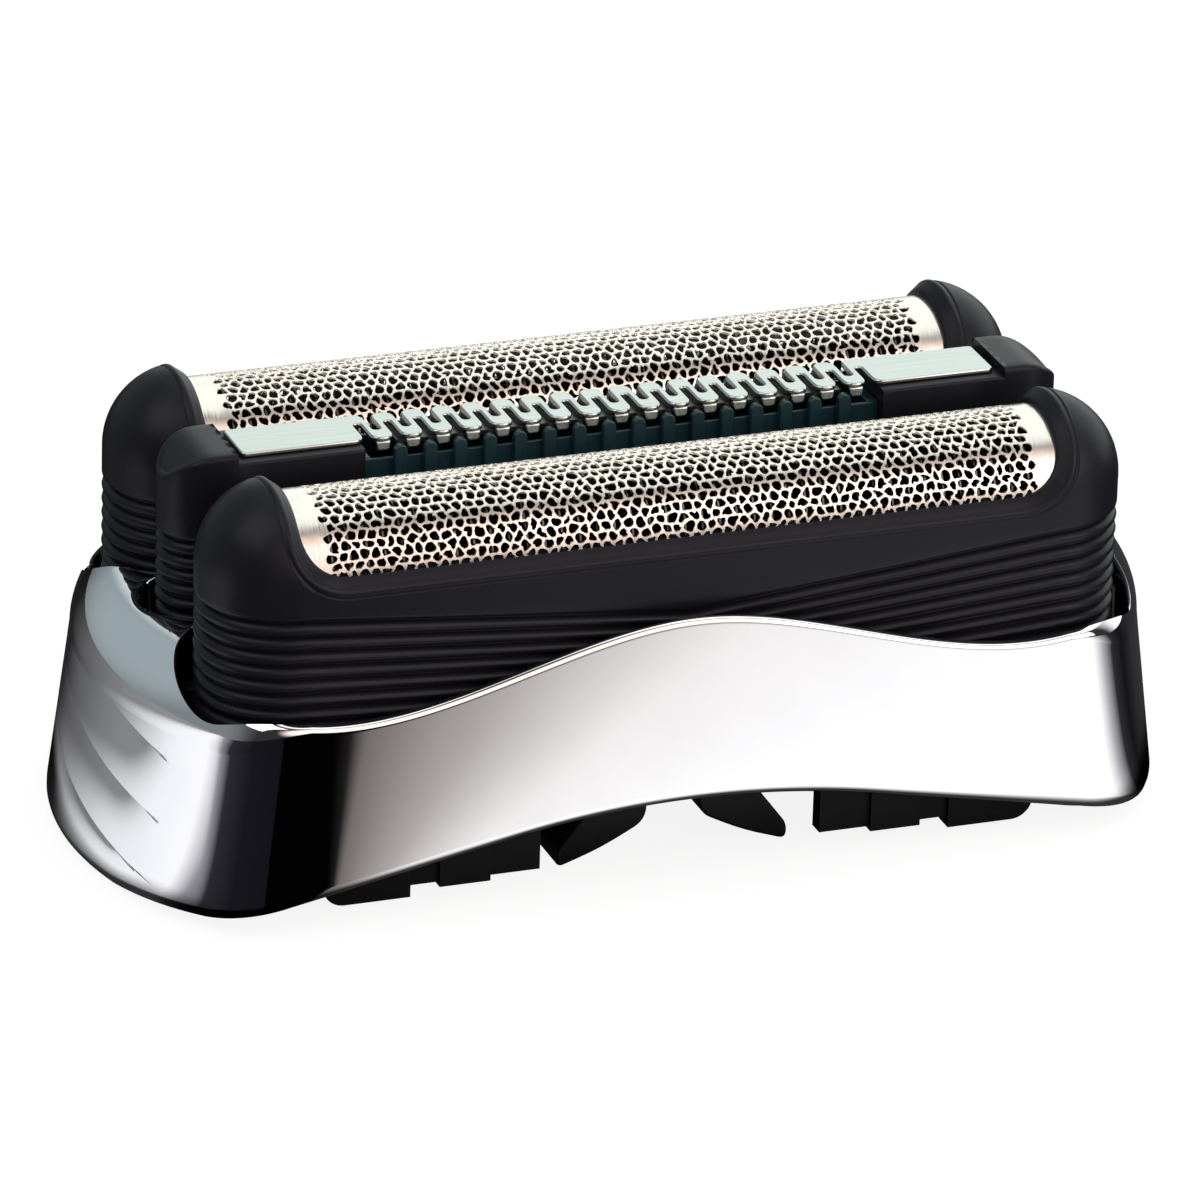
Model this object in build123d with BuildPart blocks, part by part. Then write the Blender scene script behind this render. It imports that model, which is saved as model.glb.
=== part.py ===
"""Foil head of an electric shaver: two floating foil cartridges and a floating centre trimmer
in a plated ring. Millimetres, origin at the middle of the foot, X along the foils, Z up."""

from build123d import *
from math import asin, cos, degrees, pi, radians, sin
import os

os.makedirs("parts", exist_ok=True)

# Plated outer ring
ring_half_length = 30.0  # at the foot, middle of the end
ring_half_width = 14.15  # at the foot
ring_height = 15.5  # where the lofted outlines stop
ring_lean_ends = 2.0  # how far the end walls lean in from foot to top
ring_lean_sides = 0.55
ring_bow = 5.1  # how far the ends bow out past the corners
ring_corner = 5.0
ring_wall = 1.0
rim_crest = 14.9  # top edge at the middle of the long sides
rim_dip = 11.5  # top edge beside the corners
rim_dip_inset = 9.0  # low points of the rim from the ends
rim_end = 13.0  # top edge over the ends
rim_bevel = 0.45
foot_apex = 5.6  # peak of the arched lower edge before it is rounded
foot_flat = 1.5  # length of the lower edge that lies on the table at each end
foot_round = 52.0
deck_under = 10.9  # underside of the end decks
grip_step = 0.45  # depth of each shingle step on the ends
grip_pitch = 3.2
grip_count = 3
grip_base = 0.5  # lower edge of the lowest step
grip_half_width = 9.4
grip_tilt = 8.0

# Foils and the cartridges that carry them
crown_height = 22.05
side_clearance = 1.85  # cartridges to the outside of the ring's foot
unit_gap = 1.15  # cartridges to the trimmer
foil_wall = 0.53  # cartridge's wall outside the foil
foil_inset = 3.45  # ends of the foil from the cartridge's
foil_thickness = 0.12
foil_seat = 0.6  # straight edge of the foil below its arch
foil_hole_length = 2.2  # along the foil
foil_hole_width = 0.8  # round the foil
foil_hole_pitch = 3.6
foil_hole_rows = 3
foil_hole_spread = 90.0  # degrees from the first row of holes to the last
foil_margin = 2.4  # plain strip at each end
cartridge_inset = 4.65  # cartridge's ends from the ring's
cartridge_bottom = 8.8
ear_lift = 0.35  # centre of the domed ears above the foil axis
ear_flats = 5  # straight facets from the side of an ear to its top
window_inset = 4.15  # ends of the window from the cartridge's
window_corner = 2.8
window_lip = 0.25  # lower edge of the window above the foil axis
bay_wall = 0.9
rib_count = 3
rib_pitch = 1.2
rib_top = 16.65  # highest groove at the ends of the straight flank
rib_sag = 2.0  # how much lower that groove runs at mid length
rib_groove = 0.35
rib_depth = 0.35
catch_height = 1.3
catch_width = 1.2
catch_inset = 1.5  # from the side nearest to the trimmer
catch_proud = 0.85
catch_gap = 0.3
scallop_gap = 0.8  # plated ring to the three units

# Cutters and their drivers
float_travel = 2.0
stroke = 1.0
running_gap = 0.15
slide_gap = 0.2
lamella_count = 9
lamella_flats = 8  # straight facets round the cutting edge
lamella_thickness = 0.3
lamella_band = 1.1
holder_inset = 2.3  # ends of the holder from the foil's
holder_wall = 1.1  # cartridge's side to the holder's
holder_height = 1.8
holder_drop = 2.0  # holder's top below the foil axis
stem_half_length = 2.9
stem_inset = 0.7  # sides of the stem from the holder's
stem_drop = 5.2
key_half_length = 1.4
key_inset = 0.6  # sides of the key from the stem's
driver_half_length = 6.0
driver_wall = 1.4  # cartridge's side to the driver's
flange_half_length = 11.0
flange_overhang = 1.0
flange_thickness = 0.6
fork_half_gap = 1.45
fork_root = 2.45  # where the lead-in starts to open out
fork_top = 4.6
claw_reach = 6.45
claw_tip = 0.3
claw_blunt = 0.9
cutter_spring_x = 8.2

# Centre trimmer
trimmer_inset = 5.0  # trimmer's ends from the ring's
trimmer_half_width = 2.35
trimmer_bottom = 9.5
trimmer_top = 22.05
trimmer_shoulder = 2.6
trimmer_rib_count = 3
trimmer_rib_top = 17.2
trimmer_catch_proud = 1.6
sheet_top = 21.85
sheet_thickness = 0.3
sheet_half_width = 1.65
sheet_inset = 4.0  # ends of the sheet from the trimmer's
sheet_gap = 0.35  # recess round the outer end of each plate
lobe_pitch = 1.65
lobe_count = 17
slot_width = 0.42
slot_share = 0.66  # part of the strip's width that each slot crosses
lobe_fold = 0.5
fold_width = 0.7
guard_base = 19.6
guard_height = 1.1
guard_inner = 1.85
guard_outer = 2.1
finger_width = 0.7
finger_top = 21.45
blade_gap = 0.1
blade_thickness = 0.25
blade_half_width = 1.3
blade_half_length = 12.4
blade_slot = 0.75
blade_stroke = 0.8
guard_tie = 0.6
channel_half_width = 1.5
channel_floor = 17.9
bar_half_width = 1.1
drive_stem_half_length = 2.2
drive_stem_half_width = 0.95
drive_stem_bottom = 3.2
drive_slot_half_gap = 1.1
drive_slot_height = 3.0
trimmer_spring_inset = 7.5
spring_pocket_top = 12.8

# Inner carrier
carrier_floor = 4.8  # underside of the floor
carrier_floor_thickness = 1.0
carrier_gap = 0.15
rail_thickness = 1.0
rail_bottom = 1.05
rail_inset = 10.2  # ends of the rails from the ring's
rail_gap = 0.35  # ends of the rails to the claws at full stroke
block_length = 2.8
block_gap = 1.6  # block to pad
block_bottom = 0.85
pad_length = 4.8
pad_bottom = 0.5
pad_proud = 0.25
pad_round = 1.2
post_half_width = 0.8
post_inset = 3.95  # posts from the ring's ends
post_clear = 0.6  # posts from the trimmer's sides
hair_window_length = 7.0
hair_window_margin = 0.2

# Coil springs
spring_radius = 1.35
spring_wire = 0.36
spring_turns = 4
spring_runs = 5  # straight runs in each turn
spring_seat = 0.7  # wire's middle above its seat, in wire widths

# Cutting tools reach past what they cut by this much
overcut = 1.0

# Values that follow from the ones above
rim_dip_x = ring_half_length - rim_dip_inset
foot_flat_x = ring_half_length - foot_flat
cartridge_half_length = ring_half_length - cartridge_inset
cartridge_half_width = (ring_half_width - side_clearance - unit_gap - trimmer_half_width) / 2
lane_y = trimmer_half_width + unit_gap + cartridge_half_width
foil_half_length = cartridge_half_length - foil_inset
foil_radius = cartridge_half_width - foil_wall
window_half_length = cartridge_half_length - window_inset
bay_half_width = cartridge_half_width - bay_wall
catch_offset = cartridge_half_width - catch_inset
catch_reach = cartridge_half_length + catch_proud
holder_half_length = foil_half_length - holder_inset
holder_half_width = cartridge_half_width - holder_wall
stem_half_width = holder_half_width - stem_inset
key_half_width = stem_half_width - key_inset
driver_half_width = cartridge_half_width - driver_wall
flange_half_width = driver_half_width + flange_overhang
trimmer_half_length = ring_half_length - trimmer_inset
trimmer_catch_reach = trimmer_half_length + trimmer_catch_proud
trimmer_spring_x = trimmer_half_length - trimmer_spring_inset
sheet_half_length = trimmer_half_length - sheet_inset
rail_half_length = ring_half_length - rail_inset
pad_inner = rail_half_length - pad_length
block_outer = pad_inner - block_gap
block_inner = block_outer - block_length
post_x = ring_half_length - post_inset
post_y = trimmer_half_width + post_clear
hair_window_outer = rail_half_length - hair_window_margin
hair_window_inner = hair_window_outer - hair_window_length
foil_axis = crown_height - foil_radius
ear_axis = foil_axis + ear_lift
ear_top = ear_axis + cartridge_half_width
end_centre = cartridge_half_length - cartridge_half_width
floor_top = carrier_floor + carrier_floor_thickness
catch_top = deck_under - catch_gap
holder_top = foil_axis - holder_drop
holder_bottom = holder_top - holder_height
flange_bottom = floor_top + running_gap
flange_top = flange_bottom + flange_thickness
key_top = holder_bottom - float_travel
stem_bottom = holder_bottom - stem_drop
rail_inner = lane_y + driver_half_width + slide_gap
rail_opening = claw_reach + stroke + rail_gap
driver_opening = driver_half_length + stroke + slide_gap
sheet_bottom = sheet_top - sheet_thickness
blade_top = sheet_bottom - blade_gap
blade_bottom = blade_top - blade_thickness
comb_half_length = lobe_pitch * (lobe_count + 0.5) / 2
bow_radius = (ring_half_width**2 + ring_bow**2) / (2 * ring_bow)
bow_centre = ring_half_length - bow_radius
lanes = {"front": -lane_y, "rear": lane_y}


def upright(x, y, z):
    """A plane facing the front, with its own X along the foils and its own Y up."""
    return Plane((x, y, z), x_dir=(1, 0, 0), z_dir=(0, -1, 0))


def across(x, y, z):
    """A plane square to the foils, with its own X across them and its own Y up."""
    return Plane((x, y, z), x_dir=(0, 1, 0), z_dir=(1, 0, 0))


def ring_outline(height, inset, level):
    """The ring's plan at a height, drawn in by an inset and laid at a level."""
    lean = height / ring_height
    length = ring_half_length - ring_lean_ends * lean - inset
    width = ring_half_width - ring_lean_sides * lean - inset
    shoulder = length - ring_bow
    with BuildSketch(Plane.XY.offset(level)) as outline:
        with BuildLine():
            Line((-shoulder, -width), (shoulder, -width))
            ThreePointArc((shoulder, -width), (length, 0), (shoulder, width))
            Line((shoulder, width), (-shoulder, width))
            ThreePointArc((-shoulder, width), (-length, 0), (-shoulder, -width))
        make_face()
        fillet(outline.vertices(), ring_corner - inset)
    return outline.sketch


def cartridge_skirt(lane, inset):
    """A cartridge's upright sides, drawn in by an inset."""
    width = cartridge_half_width - inset
    with BuildPart() as skirt:
        with BuildSketch(Plane((0, lane, cartridge_bottom))):
            SlotOverall(2 * (end_centre + width), 2 * width)
        extrude(amount=ear_axis - cartridge_bottom)
    return skirt.part


def cartridge_form(lane):
    """A cartridge's outside without its window: upright skirt, arched top and domed ears."""
    dome = []
    for flat in range(ear_flats + 1):
        turn = pi / 2 * flat / ear_flats
        dome.append((cartridge_half_width * cos(turn), cartridge_half_width * sin(turn)))
    far_side = [(-side, up) for side, up in reversed(dome[:-1])]
    with BuildPart() as form:
        add(cartridge_skirt(lane, 0))
        with BuildSketch(across(-end_centre, lane, ear_axis)):
            with BuildLine():
                Polyline(*dome, *far_side, close=True)
            make_face()
        extrude(amount=2 * end_centre)
        for end in (-1, 1):
            with BuildSketch(across(end * end_centre, lane, ear_axis)):
                with BuildLine():
                    Polyline(*dome, (0, 0), close=True)
                make_face()
            turn = Axis((end * end_centre, lane, ear_axis), (0, 0, -end))
            revolve(axis=turn, revolution_arc=180)
    return form.part


def trimmer_form(inset):
    """The trimmer's outside: a slot shape with rounded shoulders at its ends."""
    height = trimmer_top - trimmer_bottom
    length = trimmer_half_length - inset
    width = trimmer_half_width - inset
    with BuildPart() as form:
        with BuildSketch(Plane.XY.offset(trimmer_bottom)):
            SlotOverall(2 * length, 2 * width)
        extrude(amount=height)
        with BuildSketch(upright(0, trimmer_half_width, trimmer_bottom)) as side:
            with Locations((0, height / 2)):
                Rectangle(2 * length, height)
            fillet(side.vertices().group_by(Axis.Y)[-1], trimmer_shoulder)
        extrude(amount=2 * trimmer_half_width, mode=Mode.INTERSECT)
    return form.part


def coil_spring(height):
    """A coil of square wire drawn with straight runs, standing on the origin."""
    steps = spring_turns * spring_runs
    seat = spring_seat * spring_wire
    rise = height - 2 * seat
    path = []
    for step in range(steps + 1):
        turn = 2 * pi * step / spring_runs
        level = seat + rise * step / steps
        path.append((spring_radius * cos(turn), spring_radius * sin(turn), level))
    with BuildPart() as coil:
        with BuildLine() as wire:
            Polyline(*path)
        with BuildSketch(Plane(path[0], z_dir=wire.line % 0)):
            Rectangle(spring_wire, spring_wire)
        sweep(transition=Transition.RIGHT)
    return coil.part


# Plated ring: arched rim and foot, end decks scalloped round the three units, shingled grips
with BuildPart() as chrome_frame:
    add(ring_outline(0, 0, 0))
    add(ring_outline(ring_height, 0, ring_height))
    loft(ruled=True)
    with BuildSketch(upright(0, ring_half_width + overcut, 0)):
        with BuildLine():
            Spline(
                (-foot_flat_x, rim_end),
                (-rim_dip_x, rim_dip),
                (0, rim_crest),
                (rim_dip_x, rim_dip),
                (foot_flat_x, rim_end),
                tangents=((1, 0), (1, 0)),
            )
            Polyline(
                (foot_flat_x, rim_end),
                (ring_half_length + overcut, rim_end),
                (ring_half_length + overcut, ring_height + overcut),
                (-ring_half_length - overcut, ring_height + overcut),
                (-ring_half_length - overcut, rim_end),
                (-foot_flat_x, rim_end),
            )
        make_face()
    extrude(amount=2 * (ring_half_width + overcut), mode=Mode.SUBTRACT)
    rim_face = chrome_frame.faces().sort_by(Axis.Z)[-1]
    chamfer(rim_face.edges(), rim_bevel)
    with BuildSketch(upright(0, ring_half_width + overcut, 0)) as foot:
        with BuildLine():
            Polyline((-foot_flat_x, 0), (0, foot_apex), (foot_flat_x, 0), close=True)
        make_face()
        fillet(foot.vertices().sort_by(Axis.Y)[-1], foot_round)
    extrude(amount=2 * (ring_half_width + overcut), mode=Mode.SUBTRACT)
    with BuildSketch():
        with Locations((0, -lane_y), (0, lane_y)):
            SlotOverall(
                2 * (cartridge_half_length + scallop_gap),
                2 * (cartridge_half_width + scallop_gap),
            )
        SlotOverall(
            2 * (trimmer_half_length + scallop_gap), 2 * (trimmer_half_width + scallop_gap)
        )
        Rectangle(2 * end_centre, 2 * lane_y)
    extrude(amount=ring_height, mode=Mode.SUBTRACT)
    add(ring_outline(deck_under, ring_wall, deck_under))
    extrude(amount=-deck_under, mode=Mode.SUBTRACT)
    for end in (-1, 1):
        leaned = (0, end * sin(radians(grip_tilt)), cos(radians(grip_tilt)))
        grip_axis = Axis((end * bow_centre, 0, 0), leaned)
        grip_plane = Plane(
            grip_axis.position,
            x_dir=(end, 0, 0),
            z_dir=(0, -end * cos(radians(grip_tilt)), sin(radians(grip_tilt))),
        )
        with BuildSketch(grip_plane) as shingles:
            for step in range(grip_count):
                low = grip_base + step * grip_pitch
                high = low + grip_pitch
                low_x = bow_radius - ring_lean_ends * low / ring_height
                high_x = bow_radius - ring_lean_ends * high / ring_height
                with BuildLine():
                    Polyline(
                        (low_x, low),
                        (high_x - grip_step, high),
                        (high_x + overcut, high),
                        (low_x + overcut, low),
                        close=True,
                    )
                make_face()
        sweep_angle = degrees(asin(grip_half_width / bow_radius))
        revolve(
            shingles.sketch, axis=grip_axis, revolution_arc=sweep_angle, mode=Mode.SUBTRACT
        )
        revolve(
            shingles.sketch,
            axis=grip_axis.reverse(),
            revolution_arc=sweep_angle,
            mode=Mode.SUBTRACT,
        )
chrome_frame.part.label = "chrome_frame"
export_step(chrome_frame.part, "parts/chrome_frame.step")

# Inner carrier: moulded floor inside the ring, with rails below and posts under the decks
with BuildPart() as inner_carrier:
    add(ring_outline(deck_under, ring_wall + carrier_gap, floor_top))
    extrude(amount=-carrier_floor_thickness)
    with BuildSketch(Plane.XY.offset(carrier_floor)):
        with Locations((0, -lane_y), (0, lane_y)):
            Rectangle(2 * driver_opening, 2 * (driver_half_width + slide_gap))
        window_middle = (hair_window_inner + hair_window_outer) / 2
        with GridLocations(2 * window_middle, 2 * lane_y, 2, 2):
            Rectangle(hair_window_outer - hair_window_inner, 2 * (driver_half_width + slide_gap))
        Rectangle(
            2 * (drive_stem_half_length + blade_stroke + slide_gap),
            2 * (drive_stem_half_width + 2 * slide_gap),
        )
    extrude(amount=carrier_floor_thickness, mode=Mode.SUBTRACT)
    for side in (-1, 1):
        rail_face = Plane((0, side * rail_inner, 0), x_dir=(-side, 0, 0), z_dir=(0, side, 0))
        rail_middle = (rail_opening + rail_half_length) / 2
        with BuildSketch(rail_face):
            with Locations((-rail_middle, 0), (rail_middle, 0)):
                with Locations((0, (rail_bottom + carrier_floor) / 2)):
                    Rectangle(rail_half_length - rail_opening, carrier_floor - rail_bottom)
        extrude(amount=rail_thickness)
        with BuildSketch(rail_face) as pads:
            for x in (-1, 1):
                with Locations((x * (block_inner + block_outer) / 2, 0)):
                    with Locations((0, (block_bottom + carrier_floor) / 2)):
                        Rectangle(block_outer - block_inner, carrier_floor - block_bottom)
                with Locations((x * (pad_inner + rail_half_length) / 2, 0)):
                    with Locations((0, (pad_bottom + carrier_floor) / 2)):
                        Rectangle(rail_half_length - pad_inner, carrier_floor - pad_bottom)
            corners = pads.vertices().group_by(Axis.Y)[0].sort_by(Axis.X)
            fillet([corners[0], corners[-1]], pad_round)
        extrude(amount=rail_thickness + pad_proud)
    with BuildSketch(Plane.XY.offset(floor_top)):
        with GridLocations(2 * post_x, 2 * post_y, 2, 2):
            Rectangle(2 * post_half_width, 2 * post_half_width)
    extrude(amount=deck_under - floor_top)
inner_carrier.part.label = "inner_carrier"
export_step(inner_carrier.part, "parts/inner_carrier.step")

cutter_spring = coil_spring(holder_bottom - flange_top)

for lane_name, lane in lanes.items():
    inward = 1 if lane < 0 else -1

    # Foil frame: ribbed cartridge with domed ears, open on top for the foil and below for the cutter
    with BuildPart() as rib_grooves:
        with BuildSketch(upright(0, lane + 2 * cartridge_half_width, 0)):
            far = cartridge_half_length + overcut
            for rib in range(rib_count):
                level = rib_top - rib * rib_pitch
                low = level - rib_groove / 2
                high = level + rib_groove / 2
                sag = rib_sag * (1 - 0.5 * rib / rib_count)
                with BuildLine():
                    Polyline(
                        (-far, high),
                        (-end_centre, high),
                        (0, high - sag),
                        (end_centre, high),
                        (far, high),
                        (far, low),
                        (end_centre, low),
                        (0, low - sag),
                        (-end_centre, low),
                        (-far, low),
                        close=True,
                    )
                make_face()
        extrude(amount=4 * cartridge_half_width)
        add(cartridge_skirt(lane, rib_depth), mode=Mode.SUBTRACT)
    with BuildPart() as foil_frame:
        add(cartridge_form(lane))
        add(rib_grooves.part, mode=Mode.SUBTRACT)
        with BuildSketch(upright(0, lane + 2 * cartridge_half_width, foil_axis)) as window:
            window_height = ear_top + overcut - foil_axis - window_lip
            with Locations((0, window_lip + window_height / 2)):
                Rectangle(2 * window_half_length, window_height)
            fillet(window.vertices().group_by(Axis.Y)[0], window_corner)
        extrude(amount=4 * cartridge_half_width, mode=Mode.SUBTRACT)
        with BuildSketch(across(-foil_half_length, lane, foil_axis)):
            Circle(foil_radius)
            with Locations((0, -foil_radius)):
                Rectangle(2 * foil_radius, 2 * foil_radius, mode=Mode.SUBTRACT)
            with Locations((0, -foil_seat / 2)):
                Rectangle(2 * foil_radius, foil_seat)
        extrude(amount=2 * foil_half_length, mode=Mode.SUBTRACT)
        with BuildSketch(Plane((0, lane, cartridge_bottom))):
            Rectangle(2 * window_half_length, 2 * bay_half_width)
        extrude(amount=foil_axis - cartridge_bottom, mode=Mode.SUBTRACT)
        with BuildSketch(Plane((0, lane + inward * catch_offset, catch_top))):
            for end in (-1, 1):
                with Locations((end * (end_centre + catch_reach) / 2, 0)):
                    Rectangle(catch_reach - end_centre, catch_width)
        extrude(amount=-catch_height)
    foil_frame.part.label = lane_name + "_foil_frame"
    export_step(foil_frame.part, f"parts/{lane_name}_foil_frame.step")

    # Foil: thin arched sheet, pierced all over but for a plain strip at each end
    with BuildPart() as foil:
        with BuildSketch(across(-foil_half_length, lane, foil_axis)):
            Circle(foil_radius)
            Circle(foil_radius - foil_thickness, mode=Mode.SUBTRACT)
            with Locations((0, -foil_radius)):
                Rectangle(2 * foil_radius, 2 * foil_radius, mode=Mode.SUBTRACT)
            for side in (-1, 1):
                with Locations((side * (foil_radius - foil_thickness / 2), -foil_seat / 2)):
                    Rectangle(foil_thickness, foil_seat)
        extrude(amount=2 * foil_half_length)
        pierced_half_length = window_half_length - foil_margin
        columns = int(2 * pierced_half_length / foil_hole_pitch)
        for row in range(foil_hole_rows):
            lean = foil_hole_spread * (row / (foil_hole_rows - 1) - 0.5)
            outward = (0, sin(radians(lean)), cos(radians(lean)))
            shift = foil_hole_pitch / 4 * (1 if row % 2 else -1)
            with BuildSketch(Plane((0, lane, foil_axis), x_dir=(1, 0, 0), z_dir=outward)):
                with Locations((shift, 0)):
                    with GridLocations(foil_hole_pitch, 1, columns, 1):
                        Rectangle(foil_hole_length, foil_hole_width)
            extrude(amount=foil_radius + overcut, mode=Mode.SUBTRACT)
    foil.part.label = lane_name + "_foil"
    export_step(foil.part, f"parts/{lane_name}_foil.step")

    # Cutter holder: moulded bar that carries the lamellae, with a slotted stem for the key
    with BuildPart() as cutter_holder:
        with BuildSketch(Plane((0, lane, holder_bottom))):
            Rectangle(2 * holder_half_length, 2 * holder_half_width)
        extrude(amount=holder_height)
        with BuildSketch(Plane((0, lane, holder_bottom))):
            Rectangle(2 * stem_half_length, 2 * stem_half_width)
        extrude(amount=-stem_drop)
        with BuildSketch(Plane((0, lane, stem_bottom))):
            Rectangle(2 * (key_half_length + running_gap), 2 * holder_half_width)
        extrude(amount=stem_drop + holder_height / 3, mode=Mode.SUBTRACT)
    cutter_holder.part.label = lane_name + "_cutter_holder"
    export_step(cutter_holder.part, f"parts/{lane_name}_cutter_holder.step")

    # Cutter lamellae: a row of thin steel arches standing on the holder
    with BuildPart() as cutter_lamellae:
        lamella_radius = foil_radius - foil_thickness - running_gap
        lamella_pitch = (2 * holder_half_length - 1) / (lamella_count - 1)
        arch = [(holder_half_width, -holder_drop), (holder_half_width, -foil_seat)]
        for flat in range(lamella_flats + 1):
            turn = pi * flat / lamella_flats
            arch.append((lamella_radius * cos(turn), lamella_radius * sin(turn)))
        arch += [(-holder_half_width, -foil_seat), (-holder_half_width, -holder_drop)]
        bore = lamella_radius - lamella_band
        for number in range(lamella_count):
            x = (number - (lamella_count - 1) / 2) * lamella_pitch - lamella_thickness / 2
            with BuildSketch(across(x, lane, foil_axis)):
                with BuildLine():
                    Polyline(*arch, close=True)
                make_face()
                with Locations((0, (bore / 2 - holder_drop) / 2)):
                    Rectangle(1.4 * bore, bore / 2 + holder_drop, mode=Mode.SUBTRACT)
            extrude(amount=lamella_thickness)
    cutter_lamellae.part.label = lane_name + "_cutter_lamellae"
    export_step(cutter_lamellae.part, f"parts/{lane_name}_cutter_lamellae.step")

    # Cutter driver: slides on the carrier's floor, with a key above and a flared drive fork below
    with BuildPart() as cutter_driver:
        with BuildSketch(upright(0, lane + driver_half_width, 0)):
            with BuildLine():
                Polyline(
                    (fork_half_gap, fork_root),
                    (fork_half_gap, fork_top),
                    (-fork_half_gap, fork_top),
                    (-fork_half_gap, fork_root),
                )
                for end in (-1, 1):
                    tip = end * (claw_reach - claw_blunt / 3)
                    ThreePointArc(
                        (end * fork_half_gap, fork_root),
                        (end * (fork_half_gap + claw_reach) / 2, (fork_root + claw_tip) / 2.4),
                        (tip, claw_tip),
                    )
                    Polyline(
                        (tip, claw_tip),
                        (end * claw_reach, claw_tip + claw_blunt / 3),
                        (end * claw_reach, claw_tip + claw_blunt),
                        (end * (claw_reach + fork_half_gap) / 1.8, carrier_floor - claw_blunt),
                        (end * driver_half_length, flange_bottom),
                    )
                Line((-driver_half_length, flange_bottom), (driver_half_length, flange_bottom))
            make_face()
        extrude(amount=2 * driver_half_width)
        with BuildSketch(Plane((0, lane, flange_bottom))):
            Rectangle(2 * flange_half_length, 2 * flange_half_width)
        extrude(amount=flange_thickness)
        with BuildSketch(Plane((0, lane, flange_top))):
            Rectangle(2 * key_half_length, 2 * key_half_width)
        extrude(amount=key_top - flange_top)
    cutter_driver.part.label = lane_name + "_cutter_driver"
    export_step(cutter_driver.part, f"parts/{lane_name}_cutter_driver.step")

    # Cutter springs: two coils between the driver's flange and the holder
    for end_name, end in (("left", -1), ("right", 1)):
        spring = cutter_spring.moved(Location((end * cutter_spring_x, lane, flange_top)))
        spring.label = f"{lane_name}_cutter_spring_{end_name}"
        export_step(spring, f"parts/{lane_name}_cutter_spring_{end_name}.step")

# Trimmer body: black moulding with ribbed end columns, a blade channel and spring pockets
with BuildPart() as trimmer_grooves:
    with BuildSketch(upright(0, trimmer_half_width + overcut, 0)):
        for rib in range(trimmer_rib_count):
            with Locations((0, trimmer_rib_top - rib * rib_pitch)):
                Rectangle(2 * (trimmer_half_length + overcut), rib_groove)
        Rectangle(
            2 * (trimmer_half_length - trimmer_half_width), 2 * trimmer_top, mode=Mode.SUBTRACT
        )
    extrude(amount=2 * (trimmer_half_width + overcut))
    add(trimmer_form(rib_depth), mode=Mode.SUBTRACT)
with BuildPart() as trimmer_body:
    add(trimmer_form(0))
    add(trimmer_grooves.part, mode=Mode.SUBTRACT)
    with BuildSketch(Plane.XY.offset(sheet_bottom)):
        Rectangle(2 * (sheet_half_length + sheet_gap), 2 * trimmer_half_width)
    extrude(amount=trimmer_top - sheet_bottom, mode=Mode.SUBTRACT)
    with BuildSketch(Plane.XY.offset(guard_base)):
        Rectangle(2 * comb_half_length, 2 * trimmer_half_width)
    extrude(amount=trimmer_top - guard_base, mode=Mode.SUBTRACT)
    with BuildSketch(Plane.XY.offset(channel_floor)):
        Rectangle(2 * comb_half_length, 2 * channel_half_width)
    extrude(amount=guard_base - channel_floor, mode=Mode.SUBTRACT)
    with BuildSketch(Plane.XY.offset(trimmer_bottom)):
        Rectangle(
            2 * (drive_stem_half_length + blade_stroke + slide_gap),
            2 * (drive_stem_half_width + slide_gap),
        )
    extrude(amount=channel_floor - trimmer_bottom, mode=Mode.SUBTRACT)
    with BuildSketch(Plane.XY.offset(trimmer_bottom)):
        with Locations((-trimmer_spring_x, 0), (trimmer_spring_x, 0)):
            Circle(spring_radius + spring_wire / 2 + slide_gap)
    extrude(amount=spring_pocket_top - trimmer_bottom, mode=Mode.SUBTRACT)
    with BuildSketch(Plane.XY.offset(catch_top)):
        catch_root = trimmer_half_length - trimmer_half_width
        for end in (-1, 1):
            with Locations((end * (catch_root + trimmer_catch_reach) / 2, 0)):
                Rectangle(trimmer_catch_reach - catch_root, catch_width)
    extrude(amount=trimmer_bottom - catch_top)
trimmer_body.part.label = "trimmer_body"
export_step(trimmer_body.part, "parts/trimmer_body.step")

# Trimmer guard: moulded comb of round-topped fingers along both sides of the blade
with BuildPart() as trimmer_guard:
    with BuildSketch(Plane.XY.offset(guard_base)):
        Rectangle(2 * comb_half_length, 2 * guard_outer)
        Rectangle(2 * (comb_half_length - guard_tie), 2 * channel_half_width, mode=Mode.SUBTRACT)
    extrude(amount=guard_height)
    for side in (-1, 1):
        face_y = -guard_inner if side < 0 else guard_outer
        with BuildSketch(upright(0, face_y, (guard_base + finger_top) / 2)) as fingers:
            with GridLocations(lobe_pitch, 1, lobe_count - 1, 1):
                Rectangle(finger_width, finger_top - guard_base)
            chamfer(fingers.vertices().group_by(Axis.Y)[-1], finger_width / 3)
        extrude(amount=guard_outer - guard_inner)
trimmer_guard.part.label = "trimmer_guard"
export_step(trimmer_guard.part, "parts/trimmer_guard.step")

# Trimmer comb: one steel sheet, two end plates joined by a strip slotted from both edges
with BuildPart() as trimmer_comb:
    with BuildSketch(Plane.XY.offset(sheet_bottom)):
        Rectangle(2 * sheet_half_length, 2 * sheet_half_width)
        slot_length = slot_share * 2 * sheet_half_width
        for cut in range(2 * lobe_count + 1):
            side = -1 if cut % 2 == 0 else 1
            x = (cut - lobe_count) * lobe_pitch / 2
            with Locations((x, side * sheet_half_width)):
                Rectangle(slot_width, 2 * slot_length, mode=Mode.SUBTRACT)
    extrude(amount=sheet_thickness)
    with BuildSketch(Plane.XY.offset(sheet_bottom)):
        fold_y = sheet_half_width - sheet_thickness / 3
        with Locations((0, -fold_y)):
            with GridLocations(lobe_pitch, 1, lobe_count, 1):
                Rectangle(fold_width, sheet_thickness * 2 / 3)
        with Locations((0, fold_y)):
            with GridLocations(lobe_pitch, 1, lobe_count - 1, 1):
                Rectangle(fold_width, sheet_thickness * 2 / 3)
    extrude(amount=-lobe_fold)
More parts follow.
